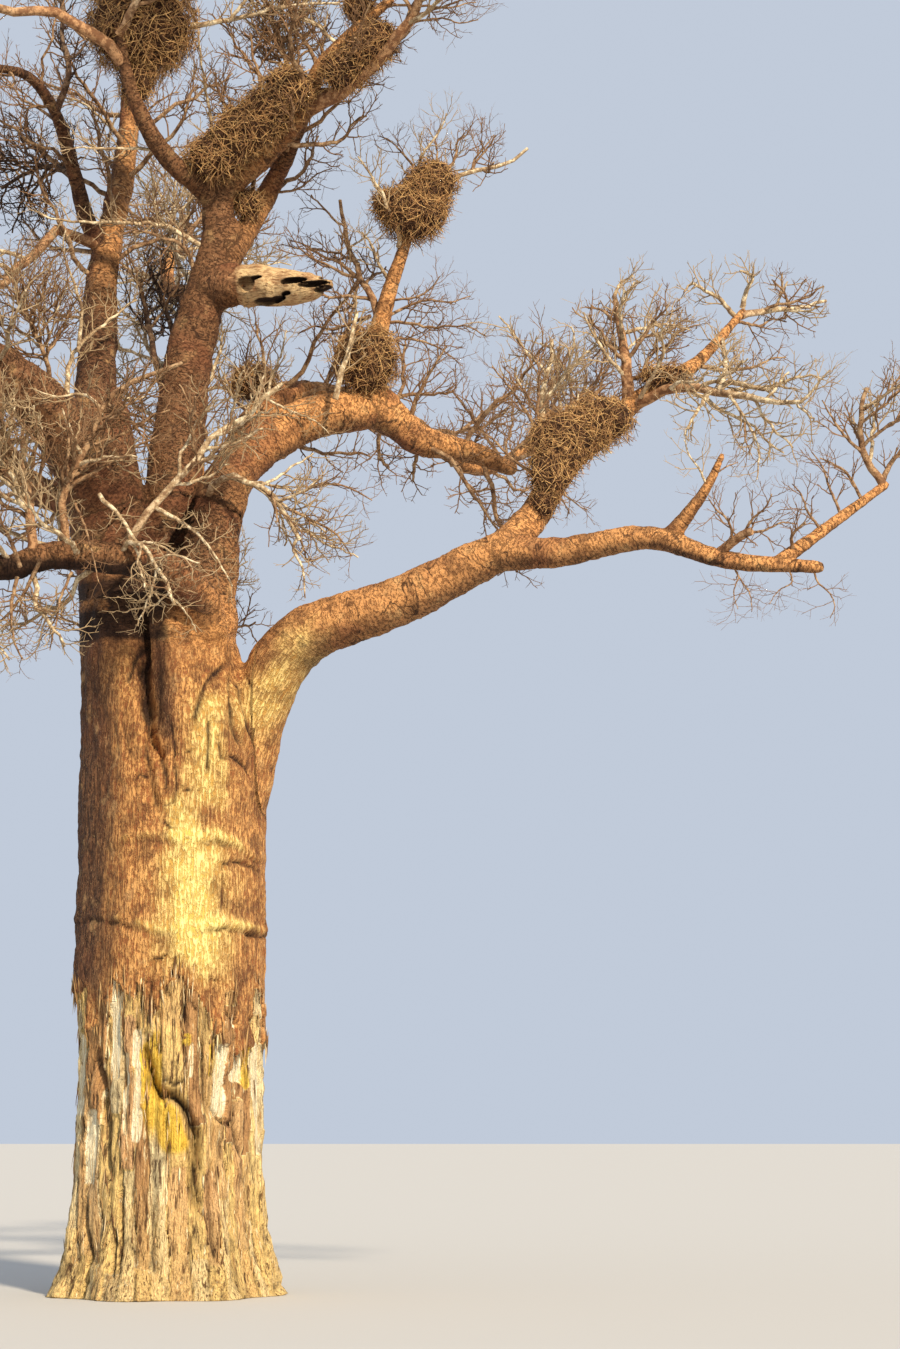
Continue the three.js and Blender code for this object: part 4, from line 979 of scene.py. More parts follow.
def bark_finish():
    """The bark, torn away at the foot, and almost black in its creases, partly dark bark and partly painted
    shade, and under the low front bough, where the shadow is painted.
    """
    made, start = start_of("bark")
    place = stored(start, "place", 1)
    patch = place.noise(3.1, 4, 0.6)
    fleck = place.stretched((1, 1, 0.6)).noise(55, 3, 0.65)
    fibre = place.stretched((1, 1, 0.03)).noise(48, 4, 0.7)
    flake = place.stretched((1, 1, 0.12)).noise(14, 4, 0.7)
    stripped = stored(start, "stripped")
    body, scored = bark_body(start, place, patch, fleck)
    color = stripped.between(0.4, 0.6).tint(body, torn_wood(start, fibre, flake))
    # Almost black where the creases and the painted shadow darken it: partly dark bark and partly painted
    # shade.
    color = layered(color, (stored(start, "crease_and_shade") * 0.95, (0.022, 0.01, 0.007)))
    height = scored * 0.8 + fleck * 0.3 + (fibre + flake) * stripped * 0.9
    return finish_surface(made, color, fleck * 0.2 + 0.72, height, 0.025)


def split_by(thing, numbers, names):
    """The object cut into closed pieces by a number for each face, under the names."""
    made = []
    for number, name in enumerate(names):
        mesh = bmesh.new()
        mesh.from_mesh(thing.data)
        mesh.faces.ensure_lookup_table()
        away = [face for face, its in zip(mesh.faces, numbers) if its != number]
        bmesh.ops.delete(mesh, geom=away, context="FACES")
        rim = [edge for edge in mesh.edges if edge.is_boundary]
        for edge in rim:
            edge.smooth = False
        for face in bmesh.ops.holes_fill(mesh, edges=rim)["faces"]:
            face.smooth = False
        data = thing.data.copy()
        mesh.to_mesh(data)
        mesh.free()
        data.name = name
        made.append(linked(name, data))
    bpy.data.objects.remove(thing)
    return made


trunk_like = (1 - ease(points[:, 2], 9, 10.2)) * (1 - ease(np.abs(points[:, 0]), 1.6, 3))
store(wood.data, "on_trunk", trunk_like)
add_tree(wood, relief_tree(), {"Folds": 0.06, "Lumps": 0.06, "Ridges": 0.035, "Bark": bark_finish()})
wood = finished(wood, "wood")


# Shreds: loose slivers of bark and fibre round the torn edge and over the stripped foot. They were left
# behind where the bark was ripped away, and still hold to the wood at one end.
SHREDS_A_SQUARE_METRE = 330
SHRED_LENGTH = 0.42
SHRED_RADIUS = 0.012
LEAST_LEAN = (-0.2, -0.12, -0.6)
MOST_LEAN = (0.2, 0.12, 0.6)
LEAST_SIZE = (0.4, 0.35, 0.2)
MOST_SIZE = (2.2, 0.8, 1.5)


def random_vector(start, least, most, seed):
    """A vector drawn between two for each shred."""
    values = {0: least, 1: most, "Seed": seed}
    return start.node("FunctionNodeRandomValue", values, data_type="FLOAT_VECTOR")


def sliver(start, length):
    """A flat-ended upright sliver, thickest in the middle."""
    half = start.node("ShaderNodeCombineXYZ", {"Z": length * 0.5})
    below = start.node("ShaderNodeVectorMath", {0: half, "Scale": -1.0}, operation="SCALE")
    line = start.node("GeometryNodeCurvePrimitiveLine", {"Start": below, "End": half})
    line = start.node("GeometryNodeResampleCurve", {"Curve": line, "Count": 4})
    along = start.node("GeometryNodeSplineParameter")
    thin = (1 - (along * 2 - 1).math("ABSOLUTE") ** 2) * 0.9 + 0.1
    rim = start.node("GeometryNodeCurvePrimitiveCircle", {"Resolution": 3, "Radius": SHRED_RADIUS})
    values = {"Curve": line, "Profile Curve": rim, "Scale": thin, "Fill Caps": True}
    return start.node("GeometryNodeCurveToMesh", values)


def shred_tree():
    """Slivers that stand on a surface where its stored tear is high, and lean off it."""
    inputs = {"Density": "Float", "Length": "Float", "Finish": "Material"}
    start, wires = geometry_tree("loose_shreds", inputs)
    values = {"Mesh": wires["Geometry"], "Density": wires["Density"] * named(start, "tear"), "Seed": 7}
    spots = start.node("GeometryNodeDistributePointsOnFaces", values)
    facing = Wire(start.tree, spots.socket.node.outputs["Normal"])
    upright = start.node("FunctionNodeAlignRotationToVector", {"Vector": facing}, axis="Y", pivot_axis="Z")
    values = {"Rotation": upright, "Rotate By": random_vector(start, LEAST_LEAN, MOST_LEAN, 8)}
    turned = start.node("FunctionNodeRotateRotation", values, rotation_space="LOCAL")
    values = {"Points": spots, "Instance": sliver(start, wires["Length"]), "Rotation": turned,
              "Scale": random_vector(start, LEAST_SIZE, MOST_SIZE, 9)}
    stand = start.node("GeometryNodeInstanceOnPoints", values)
    tone = start.node("FunctionNodeRandomValue", {2: 0, 3: 1, "Seed": 10}, output=1)
    values = {"Geometry": stand, "Name": "tone", "Value": tone}
    toned = start.node("GeometryNodeStoreNamedAttribute", values, domain="INSTANCE", data_type="FLOAT")
    return end_tree(toned, wires["Finish"], smooth=False)


def shred_finish():
    """Fibres from pale straw to dark brown."""
    made, start = start_of("loose_fibre")
    place = start.node("ShaderNodeTexCoord", output=3)
    fibre = place.stretched((1, 1, 0.1)).noise(80, 3, 0.6)
    tone = stored(start, "tone")
    color = layered(
        tone.between(0, 0.6).tint(rgb(0.1, 0.045, 0.02), rgb(0.5, 0.3, 0.12)),
        (tone.between(0.6, 1), (0.9, 0.72, 0.42)),
        (fibre.between(0.5, 0.65) * 0.5, (0.16, 0.07, 0.03)),
    )
    return finish_surface(made, color, fibre * 0.1 + 0.8, fibre, 0.005)


shreds = linked("shreds", wood.data.copy())
values = {"Density": SHREDS_A_SQUARE_METRE, "Length": SHRED_LENGTH, "Finish": shred_finish()}
add_tree(shreds, shred_tree(), values)
shreds = finished(shreds, "loose_shreds")
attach(shreds, "root")
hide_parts("trunk")

# The finished skin is cut into pieces where limbs leave, each standing for its own solids.
PARTINGS = {
    "trunk_wood": ["trunk"],
    "right_boughs": ["right_low_bough", "right_low_riser", "right_arm", "right_arm_riser", "broken_spar",
                     "right_high_bough", "right_high_outer_bough", "nest_spar"],
    "centre_boughs": ["centre_stem", "centre_right_limb", "centre_left_limb", "centre_prop_limb",
                      "left_stem", "left_centre_limb", "left_curving_limb", "left_high_bough",
                      "front_low_bough", DEAD_LIMB],
    "back_boughs": ["back_right_bough", "back_bough", "back_left_bough", "rear_low_bough"],
}
limb_names = ["trunk", *LIMBS]
group_of = np.zeros(len(limb_names), int)
for group, members in enumerate(PARTINGS.values()):
    group_of[[limb_names.index(member) for member in members]] = group
part = np.round(read(wood.data.attributes["part"].data, "value")).astype(int)
first_corner = read(wood.data.polygons, "loop_start")
corners = read(wood.data.loops, "vertex_index")
face_group = group_of[part[corners[first_corner]]]
for piece, members in zip(split_by(wood, face_group, PARTINGS), PARTINGS.values()):
    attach(piece, "root")
    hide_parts(*members)


# Dead stub: the weathered, barkless remains of a limb that broke off the centre stem. Its soft middle
# has rotted away, so that it is open at an eye by the stem, along a slit near its end and below.
STUB_HOLLOWS = [
    ((1.02, -0.4, 15.36), (0.17, 0.2, 0.12)),
    ((1.2, -0.42, 15.42), (0.26, 0.14, 0.045)),
    ((1.8, -0.7, 15.3), (0.26, 0.16, 0.05)),
    ((2.12, -0.8, 15.22), (0.28, 0.16, 0.045)),
    ((1.3, -0.4, 15.08), (0.22, 0.2, 0.045)),
    ((2.32, -0.9, 15.32), (0.14, 0.3, 0.05)),
    ((2.3, -0.85, 15.13), (0.2, 0.3, 0.04)),
    ((1.52, -0.5, 15.08), (0.16, 0.25, 0.03)),
    ((1.68, -0.5, 15.13), (0.09, 0.25, 0.035)),
]
LIT_FLOOR = (1.1, -0.4, 15.3)
LIT_FLOOR_SIZE = (0.16, 1, 0.1)
LIT_FLOOR_SHARE = 0.85
ROT_AND_SHADE_BEYOND = 0.012
SLEEVE_EDGE = (0.74, 0.9)
STUB_RADII = [0.2, 0.28, 0.32, 0.33, 0.29, 0.25, 0.2, 0.12]
STUB_SIDES = 40
STUB_LUMPS = 0.22
STUB_VOXEL = 0.017

stub_way = limb_ways[DEAD_LIMB]
stub_share = np.linspace(0, len(STUB_RADII) - 1, len(stub_way))
stub_radii = np.interp(stub_share, np.arange(len(STUB_RADII)), STUB_RADII)
stub = new_object("stub", *tube(stub_way, stub_radii, STUB_SIDES, seed=300, lumps=STUB_LUMPS))
hollows = []
for number, (centre, size) in enumerate(STUB_HOLLOWS):
    bpy.ops.mesh.primitive_ico_sphere_add(subdivisions=4, location=centre)
    hollow = bpy.context.object
    hollow.scale = size
    cut = stub.modifiers.new(f"hollow_{number}", "BOOLEAN")
    cut.operation = "DIFFERENCE"
    cut.object = hollow
    hollow.hide_render = True
    hollows.append(hollow)
melt_together(stub, STUB_VOXEL)
stub = finished(stub, "stub")
for hollow in hollows:
    bpy.data.objects.remove(hollow)
stub_points = read(stub.data.vertices, "co", 3)
# Painted shade deep in the rotted hollows, laid in with the dark of the rotten wood, and lifted where light
# falls on the floor of the eye.
rot = np.zeros(len(stub_points))
for centre, size in STUB_HOLLOWS:
    deep = np.linalg.norm((stub_points - centre) / (np.array(size) + ROT_AND_SHADE_BEYOND), axis=1)
    rot = np.maximum(rot, 1 - ease(deep, 0.85, 1.04))
from_lit = np.linalg.norm((stub_points - LIT_FLOOR) / LIT_FLOOR_SIZE, axis=1)
rot *= 1 - LIT_FLOOR_SHARE * ease(-from_lit, -1.1, -0.8)
uneven = 0.12 * grain(stub_points, (6, 6, 6), 31)
stub_marks = {
    "place": limb_frame(stub_points)[3],
    "calm": np.ones(len(stub_points)),
    "fine": np.ones(len(stub_points)),
    "rot": rot,
    "sleeve": 1 - ease(stub_points[:, 0] + uneven, *SLEEVE_EDGE),
}
for name, values in stub_marks.items():
    store(stub.data, name, values)


def dead_finish():
    """Grey-tan weathered wood with long cracks, brown and dark where it has rotted, and almost black in its
    hollows, partly rotten wood and partly painted shade.
    """
    made, start = start_of("dead_wood")
    place = stored(start, "place", 1)
    fibre = place.stretched((1, 1, 0.12)).noise(40, 4, 0.65)
    stain = place.noise(4.5, 4, 0.65)
    pale = (fibre.between(0.36, 0.44) - fibre.between(0.44, 0.5)) * 0.4
    wood = layered(
        stain.between(0.4, 0.6).tint(rgb(0.66, 0.45, 0.22), rgb(0.4, 0.22, 0.1)),
        ((1 - stain.between(0.32, 0.42)) * 0.8, (0.15, 0.075, 0.035)),
        (fibre.between(0.53, 0.63) * 0.7, (0.16, 0.075, 0.034)),
        (pale, (0.85, 0.66, 0.38)),
    )
    sleeve = fibre.between(0.4, 0.55).tint(rgb(0.52, 0.25, 0.11), rgb(0.22, 0.09, 0.04))
    color = stored(start, "sleeve").tint(wood, sleeve)
    color = layered(color, (stored(start, "rot"), (0.022, 0.011, 0.007)))
    return finish_surface(made, color, stain * 0.1 + 0.8, fibre, 0.02)


add_tree(stub, relief_tree(), {"Folds": 0.03, "Lumps": 0.05, "Ridges": 0.02, "Bark": dead_finish()})
stub = finished(stub, "dead_stub")
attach(stub, "root")
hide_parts(DEAD_LIMB)


# Branches and twigs: the bare crown. Each spray grows from one stem by one rule, side shoots from
# side shoots, down to crooked twigs whose ends claw upwards. Bark on the young wood is thin, and
# lichen has made much of it pale.

# Each spray: the kind of its bark and how many branches it has; the dark kind is painted shade, for sprays
# that stand in shadow. Then, in centimetres, its stem's radii, the centre and half sizes of its space, and
# the stem's way, or else the limb that bears it and how many hundredths along.
SPRAYS = in_metres({
    "right_tip_spray": ("brown", "sparse", (6.4, 3), (1078, -240, 1233), (110, 110, 96), [(1052, -240, 1164),
      (1026, -250, 1200), (1016, -260, 1233), (1019, -270, 1279), (1027, -270, 1303)]),
    "far_right_spray": ("pale", "sparse", (6.3, 2.5), (950, 160, 1567), (131, 120, 69), [(889, 115, 1532),
      (944, 150, 1554), (994, 180, 1565), (1040, 200, 1585)]),
    "low_right_crown_spray": ("pale", "sparse", (9.6, 3.1), (862, -190, 1292), (134, 110, 77),
      [(698, -35, 1339), (761, -80, 1358), (803, -120, 1345), (871, -180, 1311), (936, -230, 1293)]),
    "right_crown_spray": ("brown", "sparse", (11.6, 3.9), (718, 0, 1470), (113, 150, 88), [(692, -35, 1331),
      (696, -30, 1384), (692, -20, 1435), (683, 0, 1493), (679, 20, 1535)]),
    "inner_right_crown_spray": ("pale", "sparse", (6.4, 3.1), (541, -10, 1374), (118, 130, 103),
      [(557, -120, 1165), (560, -40, 1285), (568, 0, 1384), (580, 20, 1463)]),
    "spar_tip_spray": ("pale", "sparse", (6, 2.5), (404, 80, 1787), (152, 130, 81), [(347, 55, 1623),
      (388, 80, 1733), (423, 90, 1757), (499, 90, 1777), (546, 90, 1807)]),
    "mid_spray": ("brown", "sparse", (6.9, 2.8), (212, 130, 1584), (94, 110, 157), [(307, 80, 1507),
      (290, 100, 1573), (268, 110, 1601), (258, 115, 1643), (241, 120, 1730)]),
    "right_low_spray": ("pale", "usual", (6.2, 3.1), (217, -30, 1162), (120, 110, 115), [(45, 5, 1190),
      (59, -50, 1215), (106, -75, 1220), (157, -80, 1176), (192, -70, 1121)]),
    "centre_limb_spray": ("brown", "dense", (4.8, 2.5), (156, 10, 1984), (80, 130, 83), [(187, -45, 1838),
      (162, -30, 1903), (146, -10, 1953), (124, 20, 2017)]),
    "centre_fork_spray": ("pale", "usual", (13.4, 4.7), (428, -240, 2011), (133, 160, 109),
      [(194, -50, 1816), (257, -95, 1831), (315, -135, 1869), (351, -170, 1906), (377, -200, 1946),
      (405, -230, 2000)]),
    "centre_high_spray": ("pale", "dense", (7.1, 3.2), (253, -40, 2109), (124, 160, 105), [(323, -110, 1968),
      (307, -100, 2019), (281, -70, 2091), (252, -30, 2170)]),
    "centre_left_tip_spray": ("pale", "dense", (7.3, 3.2), (-20, -220, 2008), (118, 150, 91),
      [(-89, -160, 1894), (-66, -180, 1926), (-36, -210, 1977), (-12, -230, 2032)]),
    "left_centre_tip_spray": ("brown", "usual", (7.5, 3.3), (-249, 330, 2287), (153, 170, 108),
      [(-149, 280, 2158), (-189, 310, 2233), (-232, 330, 2302), (-272, 350, 2360)]),
    "top_left_spray": ("pale", "dense", (10.3, 4.7), (-385, -250, 1955), (135, 150, 93), [(-84, -145, 1856),
      (-117, -170, 1872), (-131, -180, 1895), (-174, -200, 1912), (-230, -220, 1903), (-287, -240, 1909),
      (-359, -260, 1930)]),
    "left_curving_spray": ("dark", "usual", (6, 3.1), (-417, -160, 1789), (134, 150, 89),
      [(-295, -115, 1862), (-321, -140, 1845), (-362, -160, 1808), (-415, -180, 1761)]),
    "left_side_spray": ("dark", "usual", (5.4, 2.9), (-288, 180, 1786), (109, 130, 109), [(-183, 90, 1750),
      (-232, 140, 1797), (-276, 170, 1797), (-324, 200, 1780)]),
    "left_drooping_spray": ("pale", "dense", (9.6, 5.4), (-423, -20, 1591), (128, 130, 110),
      [(-151, 120, 1652), (-207, 80, 1665), (-226, 60, 1653), (-240, 40, 1611), (-287, 0, 1545),
      (-353, -20, 1522), (-415, -30, 1552)]),
    "left_rising_spray": ("brown", "dense", (4, 2.3), (-189, -100, 1481), (98, 90, 110), [(-188, -60, 1356),
      (-198, -85, 1401), (-215, -95, 1443), (-229, -105, 1476), (-255, -115, 1528)]),
    "front_left_spray": ("brown", "dense", (6.8, 2.9), (-65, -200, 1255), (130, 90, 130),
      [(-144, -185, 1073), (-152, -200, 1137), (-138, -205, 1195), (-117, -205, 1227), (-97, -200, 1289),
      (-82, -195, 1324), (-42, -185, 1341), (19, -170, 1370)]),
    "left_front_spray": ("pale", "dense", (8.2, 5), (-290, -260, 1227), (122, 130, 119), [(-195, -202, 1062),
      (-195, -220, 1140), (-205, -230, 1197), (-237, -245, 1230), (-290, -260, 1257)]),
    "front_spray": ("pale", "usual", (6.5, 3.2), (90, -185, 1275), (122, 90, 134), [(-64, -175, 1079),
      (-40, -195, 1117), (-11, -200, 1148), (21, -200, 1186), (63, -195, 1245), (101, -185, 1270),
      (148, -170, 1311), (169, -165, 1339)]),
    "hanging_spray": ("pale", "sparse", (4.4, 2.4), (6, -225, 988), (90, 65, 75), [(-64, -180, 1072),
      (-42, -225, 1090), (-17, -235, 1059), (8, -235, 1026), (21, -225, 990)]),
    "stem_gap_spray": ("dark", "usual", (7, 3.2), (-55, 140, 1610), (75, 110, 130), [(-15, 75, 1349),
      (-45, 110, 1424), (-65, 130, 1514), (-85, 150, 1604)]),
    "left_high_tip_spray": ("pale", "usual", (9.2, 3.6), (-820, -210, 1740), (230, 220, 170),
      ("left_high_bough", 97)),
    "left_high_side_spray": ("pale", "usual", (8.4, 3.4), (-620, -30, 1710), (170, 190, 150),
      ("left_high_bough", 62)),
    "left_high_low_spray": ("brown", "usual", (8.4, 3.4), (-690, -310, 1410), (190, 170, 130),
      ("left_high_bough", 72)),
    "front_tip_spray": ("pale", "usual", (7, 3), (-570, -560, 1270), (200, 200, 150), ("front_low_bough",
      97)),
    "back_right_tip_spray": ("brown", "usual", (7.4, 3), (670, 740, 1565), (135, 190, 105),
      ("back_right_bough", 97)),
    "back_tip_spray": ("pale", "usual", (7.6, 3), (-90, 840, 1940), (250, 220, 190), ("back_bough", 97)),
    "back_left_tip_spray": ("pale", "usual", (7.6, 3), (-640, 650, 1620), (260, 230, 190),
      ("back_left_bough", 97)),
    "rear_low_tip_spray": ("brown", "usual", (7.6, 3), (-130, 810, 1270), (240, 210, 160), ("rear_low_bough",
      97)),
})
STEM_SHOOTS = {"sparse": 10, "usual": 20, "dense": 36}

# The photo as the camera took it: where the camera stood, its lens in pixels, the picture's middle and the
# row of the horizon, which gives how far the camera was tipped up.
CAMERA_AT = (4.2, -40, 2.4)
LENS_PIXELS = 2650
PICTURE_MIDDLE = (450, 674.5)
HORIZON_ROW = 1129
TIPPED_UP = math.atan((HORIZON_ROW - PICTURE_MIDDLE[1]) / LENS_PIXELS)


def seen_way(points, near, far):
    """Real places, to the centimetre, of a way's points in the picture, from its depths at both ends."""
    passed = [0.0]
    for last, point in zip(points, points[1:]):
        passed.append(passed[-1] + math.dist(last, point))
    way = []
    for (column, row), run in zip(points, passed):
        depth = near + (far - near) * run / passed[-1]
        across = (column - PICTURE_MIDDLE[0]) / LENS_PIXELS
        up = (PICTURE_MIDDLE[1] - row) / LENS_PIXELS
        ahead = (depth - CAMERA_AT[1]) / (math.cos(TIPPED_UP) - up * math.sin(TIPPED_UP))
        rise = (math.sin(TIPPED_UP) + up * math.cos(TIPPED_UP)) * ahead
        place = (CAMERA_AT[0] + across * ahead, depth, CAMERA_AT[2] + rise)
        way.append(tuple(round(value, 2) for value in place))
    return way


